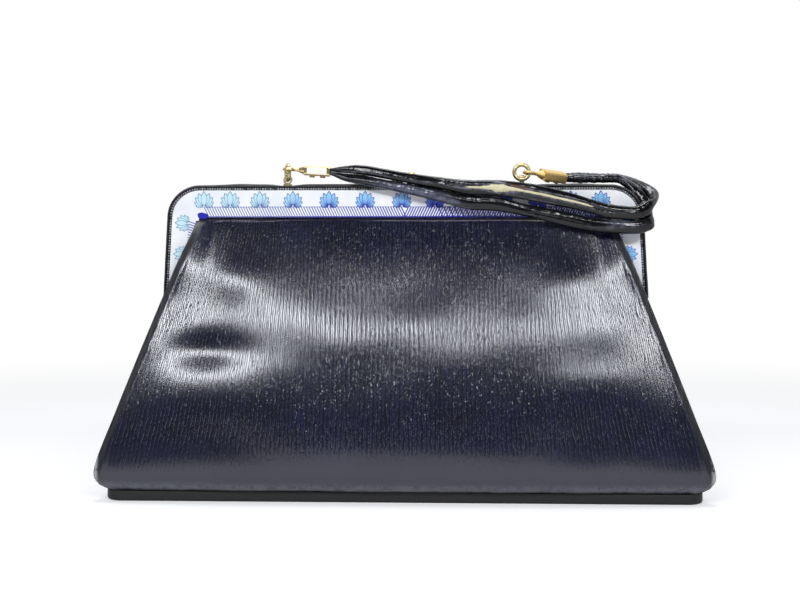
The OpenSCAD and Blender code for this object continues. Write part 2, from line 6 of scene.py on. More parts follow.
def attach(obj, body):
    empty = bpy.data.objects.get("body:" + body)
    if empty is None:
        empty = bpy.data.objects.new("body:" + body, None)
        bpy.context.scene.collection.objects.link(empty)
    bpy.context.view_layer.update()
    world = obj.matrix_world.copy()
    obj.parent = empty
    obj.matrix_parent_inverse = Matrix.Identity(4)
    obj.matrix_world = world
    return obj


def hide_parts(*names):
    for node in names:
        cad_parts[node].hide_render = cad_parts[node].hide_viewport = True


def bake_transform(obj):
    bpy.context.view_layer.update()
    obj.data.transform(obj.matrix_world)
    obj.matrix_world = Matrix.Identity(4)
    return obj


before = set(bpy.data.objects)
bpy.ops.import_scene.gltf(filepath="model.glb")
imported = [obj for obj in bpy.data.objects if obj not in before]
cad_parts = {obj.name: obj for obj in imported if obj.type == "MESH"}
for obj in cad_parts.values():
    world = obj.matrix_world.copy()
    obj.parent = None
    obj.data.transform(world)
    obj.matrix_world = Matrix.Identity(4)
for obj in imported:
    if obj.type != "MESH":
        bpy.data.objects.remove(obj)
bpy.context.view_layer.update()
print("frame loaded:", len(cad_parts), "CAD nodes")

mm = 0.001


# small helpers, as one works by hand: deselect, add, move, finish

def letGo():
    if bpy.context.object and bpy.context.object.mode != "OBJECT":
        bpy.ops.object.mode_set(mode="OBJECT")
    bpy.ops.object.select_all(action="DESELECT")


def take(*pieces):
    letGo()
    for piece in pieces:
        piece.select_set(True)
    bpy.context.view_layer.objects.active = pieces[0]
    return pieces[0]


def called(name):
    piece = bpy.context.object
    piece.name = piece.data.name = name
    return piece


def editing(piece, mode="VERT"):
    take(piece)
    bpy.ops.object.mode_set(mode="EDIT")
    bpy.ops.mesh.select_mode(type=mode)


def settled(piece):
    # modifiers applied in order, and the place moved into the mesh
    take(piece)
    for modifier in list(piece.modifiers):
        bpy.ops.object.modifier_apply(modifier=modifier.name)
    bpy.ops.object.transform_apply(location=True, rotation=True, scale=True)
    return piece


def merged(piece, distance=1e-6, outward=True):
    # points that lie together become one
    editing(piece)
    bpy.ops.mesh.select_all(action="SELECT")
    bpy.ops.mesh.remove_doubles(threshold=distance)
    if outward:
        bpy.ops.mesh.normals_make_consistent(inside=False)
    letGo()
    return piece


def capped(piece):
    # open ends of a tube get a face each
    editing(piece, "EDGE")
    bpy.ops.mesh.select_all(action="DESELECT")
    bpy.ops.mesh.select_non_manifold(
        extend=False, use_wire=False, use_boundary=True,
        use_multi_face=False, use_non_contiguous=False, use_verts=False)
    bpy.ops.mesh.edge_face_add()
    bpy.ops.mesh.select_all(action="SELECT")
    bpy.ops.mesh.normals_make_consistent(inside=False)
    letGo()
    return piece


def smooth(piece, angle=60):
    take(piece)
    bpy.ops.object.shade_smooth_by_angle(angle=math.radians(angle))
    return piece


def tube(piece):
    # a grid that was rolled up closes along its seam and at its ends
    merged(piece)
    capped(piece)
    smooth(piece)


def walled(piece, near, way, wall):
    # turned so that its face nearest that place looks the given way, with the wall behind it
    middle = min(piece.data.polygons, key=lambda face: (face.center - Vector(near)).length)
    if middle.normal.dot(Vector(way)) < 0:
        editing(piece, "FACE")
        bpy.ops.mesh.select_all(action="SELECT")
        bpy.ops.mesh.flip_normals()
        letGo()
    solid = piece.modifiers.new("wall", "SOLIDIFY")
    solid.thickness, solid.offset = wall * mm, -1
    settled(piece)
    smooth(piece)


def netted(name, across, along, place, marks=()):
    # a grid from the Add menu whose points then go where place(s, t) says, s and t from 0 to 1;
    # place may also return one number for each mark, kept as an attribute for the material
    letGo()
    bpy.ops.mesh.primitive_grid_add(x_subdivisions=across, y_subdivisions=along, size=1)
    piece = called(name)
    notes = [[] for mark in marks]
    for point in piece.data.vertices:
        found = place(point.co.x + 0.5, point.co.y + 0.5)
        point.co = found[0]
        for note, value in zip(notes, found[1:]):
            note.append(value)
    for mark, note in zip(marks, notes):
        layer = piece.data.attributes.new(mark, "FLOAT", "POINT")
        layer.data.foreach_set("value", note)
    return piece


def spline(points, t):
    # smooth curve through a list of points, t from 0 to the last index
    i = max(0, min(int(math.floor(t)), len(points) - 2))
    f = t - i
    a, b = points[max(i - 1, 0)], points[i]
    c, d = points[i + 1], points[min(i + 2, len(points) - 1)]
    return tuple(0.5 * (2 * q + (r - p) * f + (2 * p - 5 * q + 4 * r - s) * f * f
                        + (3 * q - p - 3 * r + s) * f * f * f)
                 for p, q, r, s in zip(a, b, c, d))


def ease(low, high, value):
    f = min(1, max(0, (value - low) / (high - low)))
    return f * f * (3 - 2 * f)


def blot(x, z, spot):
    # a soft hollow or swelling: [x, z, half width, half height, depth]
    return spot[4] * math.exp(-2 * ((x - spot[0]) / spot[2]) ** 2 - ((z - spot[1]) / spot[3]) ** 2)


# materials: sockets that add, multiply and so on like numbers

def paint(red, green, blue):
    # a colour as the eye sees it, 0 to 255, for a shader socket
    return tuple((c / 255 / 12.92 if c < 11 else ((c / 255 + 0.055) / 1.055) ** 2.4)
                 for c in (red, green, blue)) + (1.0,)


class Wire:
    def __init__(self, web, socket):
        self.web = web
        self.socket = socket

    def maths(self, operation, first, second=None):
        return self.web.add("ShaderNodeMath", {"operation": operation}, {0: first, 1: second})

    def other(self, outlet):
        # another outlet of the same node
        return Wire(self.web, self.socket.node.outputs[outlet])

    def __add__(self, other):
        return self.maths("ADD", self, other)

    def __radd__(self, other):
        return self.maths("ADD", other, self)

    def __sub__(self, other):
        return self.maths("SUBTRACT", self, other)

    def __rsub__(self, other):
        return self.maths("SUBTRACT", other, self)

    def __mul__(self, other):
        return self.maths("MULTIPLY", self, other)

    def __rmul__(self, other):
        return self.maths("MULTIPLY", other, self)

    def __abs__(self):
        return self.maths("ABSOLUTE", self)

    def wave(self):
        return self.maths("SINE", self)

    def fold(self, length):
        # runs up from 0 to length and back again, over and over
        return self.maths("PINGPONG", self, length)

    def larger(self, other):
        return self.maths("MAXIMUM", self, other)

    def between(self, low, high):
        # 0 below low and 1 above high, soft in between; low may be the larger one
        return self.web.add("ShaderNodeMapRange", {"interpolation_type": "SMOOTHSTEP"},
                            {0: self, 1: low, 2: high})


class Web:
    # the nodes of one material or of the world
    def __init__(self, tree):
        self.tree = tree

    def add(self, kind, settings=None, values=None, out=0):
        node = self.tree.nodes.new(kind)
        for key, value in (settings or {}).items():
            setattr(node, key, value)
        for key, value in (values or {}).items():
            if value is not None:
                self.join(value, node.inputs[key])
        return Wire(self, node.outputs[out]) if node.outputs else None

    def join(self, value, socket):
        if isinstance(value, Wire):
            self.tree.links.new(value.socket, socket)
        else:
            socket.default_value = value

    def axes(self, point):
        first = self.add("ShaderNodeSeparateXYZ", values={0: point})
        return first, first.other(1), first.other(2)

    def glowing(self, kind, colour, strength):
        return self.add(kind, values={"Color": colour, "Strength": strength})

    def blended(self, share, first, second):
        return self.add("ShaderNodeMixShader", values={0: share, 1: first, 2: second})

    def rays(self):
        path = self.add("ShaderNodeLightPath")
        return [path.other("Is " + name + " Ray") for name in ("Camera", "Glossy", "Transmission")]


class Finish(Web):
    def __init__(self, name, colour, roughness, **fixed):
        self.material = bpy.data.materials.new(name)
        self.material.use_nodes = True
        super().__init__(self.material.node_tree)
        self.shader = self.tree.nodes["Principled BSDF"]
        self.put("Base Color", colour)
        self.put("Roughness", roughness)
        for socket, value in fixed.items():
            self.put(socket.replace("_", " "), value)

    def put(self, socket, value):
        self.join(value, self.shader.inputs[socket])

    def point(self):
        return self.add("ShaderNodeTexCoord", out=3)

    def stretched(self, scale):
        return self.add("ShaderNodeMapping", values={0: self.point(), 3: scale})

    def cloud(self, scale, detail=3, roughness=0.5, point=None):
        return self.add("ShaderNodeTexNoise",
                        values={"Vector": point or self.point(), "Scale": scale,
                                "Detail": detail, "Roughness": roughness})

    def mark(self, name):
        return self.add("ShaderNodeAttribute", {"attribute_name": name}, out=2)

    def mixed(self, factor, first, second):
        return self.add("ShaderNodeMix", {"data_type": "RGBA"},
                        {0: factor, 6: first, 7: second}, out=2)

    def bumps(self, height, strength, distance):
        self.put("Normal", self.add("ShaderNodeBump", values={
            "Height": height, "Strength": strength, "Distance": distance}))


def dress(finish, slot, *pieces):
    for piece in pieces:
        piece.data.materials.clear()
        piece.data.materials.append(finish.material)


def clothe(finish, *nodes):
    # a new material for CAD nodes that stay as they are
    for node in nodes:
        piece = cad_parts[node]
        if not piece.material_slots:
            piece.data.materials.append(finish.material)
        for material in piece.material_slots:
            material.material = finish.material


# camera, floor and light

studio = {
    "aim": (-0.00197, -0.008, 0.0993), "distance": 0.66, "elevation": 2.0, "azimuth": 2.32,
    "lens": 58.16, "sensor": 36, "nearest": 0.01, "floor": 6,
    "floorGlow": 0.36, "floorInGloss": 0.4, "whiteFrom": 0.30, "whiteAt": 0.95,
    "around": 0.12, "sweep": (-0.25, 0.35), "sweepGloss": (0.07, 1.0), "tint": (0.95, 0.97, 1.0),
    # each lamp: place, aim, width and height, watts
    "lamps": {
        "left softbox": ((-0.45, -1.0, 0.74), (-0.03, -0.03, 0.09), (0.74, 0.15), 7.5),
        "right softbox": ((0.49, -0.98, 0.74), (0.04, -0.03, 0.09), (0.74, 0.15), 6.75),
        "top softbox": ((0, 0.12, 1.3), (0, 0, 0.1), (0.6, 0.4), 7.0)},
}
white = (1, 1, 1, 1)


def aimed(thing, target):
    thing.rotation_euler = (Vector(target) - thing.location).to_track_quat("-Z", "Y").to_euler()


letGo()
aim = Vector(studio["aim"])
up, turn = math.radians(studio["elevation"]), math.radians(studio["azimuth"])
bpy.ops.object.camera_add(location=aim + studio["distance"] * Vector(
    (math.sin(turn) * math.cos(up), -math.cos(turn) * math.cos(up), math.sin(up))))
camera = called("camera")
aimed(camera, aim)
camera.data.lens = studio["lens"]
camera.data.sensor_width = studio["sensor"]
camera.data.clip_start = studio["nearest"]
bpy.context.scene.camera = camera
bpy.context.scene.view_settings.view_transform = "Standard"

letGo()
bpy.ops.mesh.primitive_circle_add(vertices=96, radius=studio["floor"], fill_type="NGON")
floor = called("floor")
floorFinish = Finish("floor white", paint(226, 226, 228), 0.6)
fromCamera, fromGloss, fromGlass = floorFinish.rays()
seen = fromCamera.larger(fromGloss * studio["floorInGloss"]).larger(fromGlass)
away = floorFinish.add("ShaderNodeVectorMath", {"operation": "LENGTH"},
                       {0: floorFinish.point()}, 1)
plainFloor = Wire(floorFinish, floorFinish.shader.outputs[0])
glow = floorFinish.glowing("ShaderNodeEmission", white, studio["floorGlow"])
pureWhite = floorFinish.glowing("ShaderNodeEmission", white, 1.0)
lit = floorFinish.add("ShaderNodeAddShader", values={0: plainFloor, 1: glow})
lit = floorFinish.blended(away.between(studio["whiteFrom"], studio["whiteAt"]), lit, pureWhite)
floorFinish.join(floorFinish.blended(seen, plainFloor, lit),
                 floorFinish.tree.nodes["Material Output"].inputs["Surface"])
dress(floorFinish, None, floor)

# the world: faint light, a white sweep behind the bag in gloss, and white where it is looked at
world = bpy.data.worlds.new("white studio")
bpy.context.scene.world = world
world.use_nodes = True
world.node_tree.nodes.clear()
sky = Web(world.node_tree)
fromCamera, fromGloss, fromGlass = sky.rays()
backwards = sky.axes(sky.add("ShaderNodeTexCoord"))[1]
sweep = sky.add("ShaderNodeMapRange", values=dict(enumerate(
    (backwards,) + studio["sweep"] + studio["sweepGloss"])))
tint = studio["tint"] + (1,)
plain = sky.glowing("ShaderNodeBackground", tint, studio["around"])
gloss = sky.glowing("ShaderNodeBackground", tint, sweep)
backdrop = sky.glowing("ShaderNodeBackground", white, 1.0)
sky.add("ShaderNodeOutputWorld", values={0: sky.blended(
    fromCamera.larger(fromGlass), sky.blended(fromGloss, plain, gloss), backdrop)})

for name, (place, target, size, watts) in studio["lamps"].items():
    letGo()
    bpy.ops.object.light_add(type="AREA", location=place)
    lamp = called(name)
    lamp.data.shape = "RECTANGLE"
    lamp.data.size, lamp.data.size_y = size
    lamp.data.energy = watts
    lamp.data.color = studio["tint"]
    aimed(lamp, target)
print("camera, floor and lamps are up")


# finishes

def ribbedLeather():
    look = Finish("ribbed navy leather", paint(16, 18, 52), 0.2, Specular_IOR_Level=0.9)
    x, y, z = look.axes(look.point())
    strand, fold, smoothed = look.mark("strand"), look.mark("fold"), look.mark("smoothed")
    # each rib is a flat ridge between two narrow grooves, a little uneven and grained
    uneven = look.cloud(1.0, 3, 0.6, look.stretched((300, 300, 110)))
    place = strand + (uneven - 0.5) * 0.62
    groove = place.fold(0.5) * 2
    width = 0.50 + (look.cloud(1.0, 3, 0.6, look.stretched((520, 520, 170))) - 0.5) * 1.5
    ridge = groove.between(width + 0.20, width - 0.22) * (1 - smoothed * 0.8) + smoothed * 0.8
    grain = look.cloud(1.0, 3, 0.6, look.stretched((2600, 2600, 700)))
    mottle = look.cloud(38, 4, 0.6)
    navy = look.mixed(mottle.between(0.3, 0.7), paint(18, 19, 43), paint(26, 28, 58))
    # painted shade: the grooves between the ribs are darkened
    navy = look.mixed((1 - ridge) * 0.75, navy, paint(5, 6, 18))
    # painted shade: darker along the side edges, where the leather rolls back (the fold mark)
    navy = look.mixed(fold, navy, paint(10, 10, 20))
    worn_and_lit = look.cloud(240, 4, 0.65)
    low = z.between(0.0118, 0.0062) * (0.45 + 0.55 * worn_and_lit.between(0.35, 0.6))
    # painted shade: darker and greyer from 40 mm down to 16 mm
    navy = look.mixed(z.between(0.040, 0.016) * 0.5, navy, paint(14, 15, 28))
    # partly wear, partly a painted reflection of the white floor: below about 12 mm the leather
    # turns pale grey
    navy = look.mixed(low * 0.85, navy, paint(96, 97, 108))
    corner = abs(x).between(0.1503, 0.1522) * z.between(0.027, 0.021)
    bare = corner * look.cloud(320, 3, 0.6).between(0.36, 0.5)
    navy = look.mixed(bare * 0.85, navy, paint(168, 168, 168))
    look.put("Base Color", navy)
    look.put("Roughness", 0.15 + 0.08 * grain + 0.2 * low + 0.3 * bare + 0.2 * fold)
    look.bumps(ridge + grain * 0.10, 0.7, 0.00036)
    return look


def darkLeather(name, colour, shine, crease=0.3):
    look = Finish(name, colour, shine, Specular_IOR_Level=0.6)
    worn = look.cloud(260, 4, 0.65)
    fine = look.cloud(1700, 2, 0.5)
    lighter = tuple(min(1, c * 2.2 + 0.004) for c in colour[:3]) + (1,)
    look.put("Base Color", look.mixed(worn.between(0.45, 0.75) * 0.5, colour, lighter))
    look.put("Roughness", shine - 0.07 + 0.2 * worn)
    look.bumps(worn * 1.2 + fine * 0.5, crease, 0.0003)
    return look


def handleLeather():
    look = Finish("worn handle leather", paint(6, 6, 10), 0.2, Specular_IOR_Level=0.5)
    ridge, torn, lower_roll_sheen = look.mark("ridge"), look.mark("torn"), look.mark("lower_roll_sheen")
    worn = look.cloud(300, 4, 0.65)
    fine = look.cloud(1500, 2, 0.5)
    colour = look.mixed(worn.between(0.5, 0.78) * 0.4, paint(5, 5, 9), paint(15, 16, 25))
    # painted sheen: a grey-violet gloss painted on part of the lower roll, mottled by the worn
    # cloud
    painted_sheen = lower_roll_sheen * (0.25 + 0.4 * worn.between(0.3, 0.7))
    colour = look.mixed(painted_sheen, colour, paint(112, 114, 142))
    # ridges painted lighter: wear on the seam lips and creases, and a painted highlight on the
    # crests of the crinkles
    worn_and_lit = ridge * (0.1 + 0.5 * worn.between(0.4, 0.6))
    colour = look.mixed(worn_and_lit, colour, paint(128, 130, 146))
    split = torn * look.cloud(500, 2, 0.5).between(0.36, 0.56)
    colour = look.mixed(split, colour, paint(98, 52, 36))
    look.put("Base Color", colour)
    look.put("Roughness", 0.11 + 0.13 * worn + 0.35 * torn)
    look.bumps(worn * 1.3 + fine * 0.25, 0.18, 0.0003)
    return look


def beadedLeather():
    # the crowns of the beads are painted with a silvery highlight
    look = Finish("beaded piping leather", paint(12, 12, 20), 0.24, Specular_IOR_Level=0.6)
    crown = look.mark("crown") * look.cloud(420, 3, 0.6).between(0.34, 0.56)
    look.put("Base Color", look.mixed(crown * 0.85, paint(12, 12, 20), paint(196, 198, 206)))
    look.put("Roughness", 0.26 + 0.12 * crown)
    look.bumps(look.cloud(1500, 2, 0.5), 0.15, 0.0002)
    return look


def enamel(name, clear, clouded):
    look = Finish(name, paint(*clear), 0.16, Coat_Weight=0.5, Coat_Roughness=0.06)
    cloudy = look.cloud(60, 3, 0.5)
    look.put("Base Color", look.mixed(cloudy.between(0.35, 0.75), paint(*clear), paint(*clouded)))
    look.bumps(look.cloud(180, 2, 0.4), 0.06, 0.0003)
    return look


def ink(name, pale_where_lit, middle, deep_where_shaded, foot, shine=0.25):
    # printed colour with painted light and shade: washed out by painted light on the left, light
    # in the middle, full in painted handle shade on the right, and deeper low down
    look = Finish(name, deep_where_shaded, shine, Coat_Weight=0.4, Coat_Roughness=0.08)
    x, y, z = look.axes(look.point())
    patch = look.cloud(420, 3, 0.6)
    # painted light: paler towards the left
    colour = look.mixed(x.between(-0.085, -0.030), pale_where_lit, middle)
    # painted shade: full colour where the handle shades the plate on the right
    handle_shade = (x + (patch - 0.5) * 0.03).between(-0.006, 0.024) * x.between(0.093, 0.080)
    colour = look.mixed(handle_shade, colour, deep_where_shaded)
    # the deep leaf feet are print; the painted light leaves them out on the left
    deep = look.mark("foot") * x.between(-0.12, -0.03)
    look.put("Base Color", look.mixed(deep * 0.85, colour, foot))
    look.put("Roughness", shine + 0.1 * patch)
    return look


def gold(name, colour, shine, dirt):
    look = Finish(name, colour, shine, Metallic=1.0)
    tarnish = look.cloud(520, 4, 0.6)
    fine = look.cloud(2600, 2, 0.5)
    dark = tuple(c * 0.42 for c in colour[:3]) + (1,)
    look.put("Base Color", look.mixed(tarnish.between(0.52, 0.74) * dirt, colour, dark))
    look.put("Roughness", shine + 0.22 * dirt * tarnish)
    look.bumps(tarnish * 0.7 + fine * 0.5, 0.2 * dirt + 0.04, 0.0002)
    return look


def cloth(name, colour, lighter, pitch=0.0006):
    look = Finish(name, colour, 0.9)
    x, y, z = look.axes(look.point())
    turn = 2 * math.pi / pitch
    weave = (x * turn).wave() * (z * turn + y * turn).wave()
    fleck = look.cloud(700, 3, 0.6)
    look.put("Base Color", look.mixed(weave * 0.25 + fleck * 0.6, colour, lighter))
    look.bumps(weave * 0.5 + fleck, 0.35, 0.0003)
    return look


finishes = {
    "ribbed": ribbedLeather(),
    "plain": darkLeather("plain dark leather", paint(11, 11, 20), 0.3),
    # the base is painted near black, partly as the shade under the bag
    "base": darkLeather("black base leather with painted shade", paint(7, 7, 9), 0.6, 0.4),
    "piping": beadedLeather(),
    "handle": handleLeather(),
    "enamel": enamel("white printed enamel", (249, 249, 251), (236, 239, 246)),
    "hatch": ink("hatch print", paint(92, 102, 172), paint(60, 70, 176), paint(22, 22, 150),
                 paint(14, 14, 110)),
    "leaf": ink("leaf print", paint(204, 236, 246), paint(150, 208, 246), paint(66, 92, 228),
                paint(34, 40, 190)),
    "solid": ink("solid cobalt print", paint(30, 32, 168), paint(28, 30, 164), paint(24, 26, 150),
                 paint(24, 26, 150)),
    "outline": ink("leaf outline print", paint(112, 156, 186), paint(60, 84, 178),
                   paint(22, 24, 142), paint(20, 22, 140)),
    "gold": gold("polished gilt", (0.86, 0.68, 0.34, 1), 0.16, 0.55),
    "antique": gold("darkened gilt", (0.62, 0.53, 0.28, 1), 0.22, 1.0),
    "pearl": enamel("clamp inlay", (252, 250, 242), (244, 240, 226)),
    "dull": gold("dull worn gilt", (0.80, 0.58, 0.24, 1), 0.5, 0.7),
    "lining": cloth("lining cloth", paint(34, 36, 54), paint(52, 55, 78)),
    "core": cloth("cream padding", paint(205, 196, 156), paint(238, 232, 204), 0.0011),
    "board": cloth("pressed board", paint(52, 44, 36), paint(66, 56, 46), 0.002),
}
print("finishes mixed:", len(finishes))

clothe(finishes["gold"], "left_hook", "left_clamp", "front_clasp", "back_clasp", "front_channel",
       "back_channel", "front_hinge_ears", "back_hinge_ears", "left_hinge_rivet",
       "right_hinge_rivet")
clothe(finishes["antique"], "left_ring_post", "right_ring_post", "left_ring", "right_ring",
       "left_clamp_rivets", "right_clamp_rivets")
clothe(finishes["dull"], "right_hook", "right_clamp")
clothe(finishes["enamel"], "front_plate", "back_plate")
clothe(finishes["board"], "base_board")


# leather panels

body = {
    "halfBase": 146, "depth": 69, "baseTop": 4.8, "hinge": 96, "frameTop": 158, "frameHalf": 124.5,
    "plateInner": 16.45, "plateFace": 6.7, "tongue": 4.3, "leather": 1.2,
    "cornerOut": 7, "bellyOut": 7, "bellyZ": 17, "spare": 5, "cutFrom": 0.9,
    "ribPitch": 2.2, "ribHeight": 0.14, "samples": 4, "rows": 84, "tuck": 96.8,
    # hollows and swellings the leather has taken, in mm: x, z, half width, half height, depth
    "dents": [(-98, 75, 30, 8, 1.9), (-92, 54, 50, 14, -1.0), (92, 86, 44, 16, -0.9),
              (94, 58, 46, 13, -1.2), (0, 104, 66, 13, 0.5), (30, 70, 30, 12, -0.5),
              (-84, 111, 22, 13, -1.5), (86, 111, 24, 13, -1.5)],
}
mouth = body["frameTop"] - body["plateInner"]
lowY = body["depth"] / 2
widest = body["halfBase"] + body["cornerOut"]
edgeSlope = (widest - body["frameHalf"]) / (body["hinge"] - body["bellyZ"])
# rows down the panel, y counted forwards: (y, z) in its middle and (x, y, z) along its side seam
midLine = [
    (body["tongue"], mouth + 7.5), (body["tongue"] + 0.1, mouth + 1),
    (body["plateFace"] + 1.6, mouth - 3.6), (body["plateFace"] + 9.3, mouth - 19.6),
    (lowY - 9, body["hinge"] + 2), (lowY - 1.5, body["hinge"] - 24),
    (lowY + body["bellyOut"] * 0.65, body["hinge"] - 52), (lowY + body["bellyOut"], 18),
    (lowY + body["bellyOut"] * 0.7, body["baseTop"] + 3), (lowY - 1.2, body["baseTop"] + 0.3)]
edgeLine = [
    (body["frameHalf"] - 17.4, body["tongue"], mouth + 7.5),
    (body["frameHalf"] - 17.4, body["tongue"] + 0.1, mouth + 1),
    (body["frameHalf"] - 16.8, body["plateFace"] + 2.6, mouth - 4.2),
    (body["frameHalf"] - 10.0, body["plateFace"] + 7.4, mouth - 20.6),
    (body["frameHalf"] - 0.9, body["plateFace"] + 11.6, body["hinge"] + 2),
    (body["frameHalf"] + edgeSlope * 24, lowY - 8.9, body["hinge"] - 24),
    (body["frameHalf"] + edgeSlope * 52, lowY - 2.0, body["hinge"] - 52),
    (widest, lowY + 1.5, body["bellyZ"]),
    (body["halfBase"] + body["cornerOut"] * 0.7, lowY + 0.5, body["baseTop"] + 3.2),
    (body["halfBase"] - 1, lowY - 2, body["baseTop"] + 0.3)]
lastRow = len(midLine) - 1


def panelShape(x, v):
    # a point of the outer leather face, y counted forwards, for a place across and a row down
    middle, edge = spline(midLine, v), spline(edgeLine, v)
    u = max(-1, min(1, x / edge[0]))
    k = abs(u) ** 3.4
    z = middle[1] + (edge[2] - middle[1]) * k
    free = ease(2, 3.5, v) * (1 - abs(u) ** 8)
    y = middle[0] + (edge[1] - middle[0]) * k
    return y - free * sum(blot(x, z, dent) for dent in body["dents"]), z, edge[0]


def panelPlace(s, t):
    # s runs across the cut leather and t down it; ribs stand upright and fan a little outwards
    v = body["cutFrom"] + (lastRow - body["cutFrom"]) * (1 - t)
    m = (2 * s - 1) * (widest + body["spare"])
    height = max(0, spline(midLine, v)[1] - 14)
    x = m - math.copysign(height * 0.21 * ease(35, 150, abs(m)), m)
    free = ease(0, 20, height)
    x += free * (0.75 * noise.noise((m * 0.13, height * 0.045, 3.0))
                 + 0.34 * noise.noise((m * 0.42, height * 0.14, 13.0)))
    half = spline(edgeLine, v)[0]
    x = max(-half, min(half, x))
    y, z, half = panelShape(x, v)
    # the outward direction there, from places a little further down, up and to either side
    step, aside = 0.05, 0.4
    lower, upper = panelShape(x, min(lastRow, v + step)), panelShape(x, max(0, v - step))
    left, right = panelShape(x - aside, v), panelShape(x + aside, v)
    down = Vector((0, -(lower[0] - upper[0]), lower[1] - upper[1]))
    over = Vector((2 * aside, -(right[0] - left[0]), right[1] - left[1]))
    out = down.cross(over)
    out = out.normalized() if out.length > 1e-9 else Vector((0, -1, 0))
    inside = half - abs(x)
    seam = ease(1.5, 6.5, inside)
    opened = ease(1.35, 2.0, v)                          # no ribs where the frame holds it
    strand = m / body["ribPitch"]
    rib = 0.5 - 0.5 * math.cos(2 * math.pi * strand)
    fading = ease(36, 24, z)                             # the lowest part is rubbed smooth
    lift = body["ribHeight"] * (rib ** 0.6 - 0.5) * seam * opened * (1 - 0.7 * fading)
    # beside the seam runs a soft welt, and the last few millimetres round off
    lift += 0.28 * math.exp(-((inside - 4.2) / 1.6) ** 2) * ease(2.2, 3.2, v)
    lift -= 1.0 * ease(4.4, 0, inside) ** 1.5 * ease(1.6, 2.6, v)
    lift += 0.34 * noise.noise((x * 0.035, z * 0.045, 5.0)) * opened * seam
    # at each mouth corner the leather turns back past a crease, with fine gathers beside it
    near = ease(112, 136, z) * ease(1.3, 2.0, v)
    past = abs(x) - body["tuck"] - 2.0 * ease(136, 116, z)
    lift -= 1.4 * ease(-0.6, 5.0, past) * near
    lift += 0.2 * math.exp(-((past + 1.3) / 1.5) ** 2) * near
    lift += 0.07 * math.sin(past * 1.9) * ease(-17, -4, past) * ease(0, -2, past) * near
    # and fine ripples run along the mouth, slack between the corners
    slack = ease(125, 134, z) * ease(142, 139.5, z) * ease(92, 70, abs(x))
    lift += 0.10 * math.sin(z * 2.4 + 3.2 * noise.noise((x * 0.03, z * 0.05, 9.0))) * slack
    smoothed = max(fading, 1 - ease(4.0, 6.5, inside), ease(-0.6, 0.8, past) * near)
    # the third value, the fold mark, is painted darker as shade in the material where the edge
    # rolls back
    return (Vector((x, -y, z)) + out * lift) * mm, strand, ease(5.2, 2.6, inside), smoothed


for name, half, side in (("front", "front_half", -1), ("back", "back_half", 1)):
    columns = int(round(2 * (widest + body["spare"]) / body["ribPitch"] * body["samples"]))
    piece = netted(name + "_leather", columns, body["rows"], panelPlace,
                   ("strand", "fold", "smoothed"))
    if side > 0:
        for point in piece.data.vertices:
            point.co.y = -point.co.y
    merged(piece, 2e-6, outward=False)
    editing(piece, "FACE")
    bpy.ops.mesh.select_all(action="SELECT")
    bpy.ops.mesh.dissolve_degenerate(threshold=1e-6)
    bpy.ops.mesh.normals_make_consistent(inside=False)
    letGo()
    walled(piece, (0, side * lowY * mm, 0.07), (0, side, 0), body["leather"])
    dress(finishes["ribbed"], "ribbed_leather", piece)
    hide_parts(name + "_panel")
    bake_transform(piece)
print("leather panels cut and shaped")


# gussets: hang between the panels below the hinges and fold inwards
gusset = {"from": 4.25, "fold": 12, "columns": 44, "rows": 60, "wall": 1.2,
          "share": [(0, 1), (0.25, 0.85), (0.55, 0.45), (0.8, 0.2), (1, 0)]}


def read(table, value):
    # straight lines between the table's pairs
    for (a, p), (b, q) in zip(table, table[1:]):
        if value <= b:
            return p + (q - p) * (value - a) / (b - a)
    return table[-1][1]


def gussetPlace(side):
    def place(s, t):
        across = 2 * s - 1
        edge = spline(edgeLine, gusset["from"] + (lastRow - gusset["from"]) * (1 - t))
        share = read(gusset["share"], 1 - t)
        fold = gusset["fold"] * share * (1 - across * across)
        free = 1 - across ** 6
        crease = 0.9 * math.exp(-(across / 0.09) ** 2) * share
        soft = 0.7 * noise.noise((across * 1.6, edge[2] * 0.05, side * 4.0)) * free
        soft += 0.35 * noise.noise((across * 5, edge[2] * 0.16, side * 8.0)) * free
        return (Vector((side * (edge[0] - 0.7 - fold - crease + soft * 0.6),
                        across * (edge[1] - body["leather"] - 0.4), edge[2])) * mm,)
    return place


for name, side in (("right_gusset", 1), ("left_gusset", -1)):
    piece = netted(name + "_leather", gusset["columns"], gusset["rows"], gussetPlace(side))
    merged(piece)
    walled(piece, (side * widest * mm, 0, 0.03), (side, 0, 0), gusset["wall"])
    dress(finishes["plain"], "plain_leather", piece)
    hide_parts(name)
    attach(piece, "bag")
print("gussets folded")

# lining: a front and a back half of cloth, sewn together at the sides and along the floor
lining = {"side": 16, "floor": 6.9, "columns": 96, "rows": 64, "wall": 0.5, "lastRow": 8,
          "turned": 0.25, "floorFrom": 0.93, "meets": -0.1, "inTongue": 1.75, "inBody": 2.9}


def liningPlace(facing):
    def place(s, t):
        down = 1 - t
        w = (1 + lining["turned"]) * (2 * s - 1)         # past -1 and 1 it turns to the side seam
        u = max(-1, min(1, w))
        turn = max(0, abs(w) - 1) / lining["turned"]
        v = lining["lastRow"] * min(1, down / lining["floorFrom"])
        middle, edge = spline(midLine, v), spline(edgeLine, v)
        k = abs(u * 0.9) ** 2.6
        y = -(middle[0] + (edge[1] - middle[0]) * k)
        y += lining["inTongue"] if v < 1.6 else lining["inBody"]
        z = middle[1] + (edge[2] - middle[1]) * k
        free = ease(1.6, 3.2, v) * (1 - turn)
        gathers = 0.35 * math.cos(u * 58) * ease(3.4, 1.6, v)
        y += free * (0.9 + 0.9 * noise.noise((u * 5, v * 0.8, 2.0)) + gathers)
        if v < 1.5:
            turn = 0
        for share in (turn, ease(lining["floorFrom"], 1, down)):
            y += (lining["meets"] - y) * share
        x = u * (edge[0] - lining["side"])
        return (Vector((x, facing * y, max(z, lining["floor"]))) * mm,)
    return place


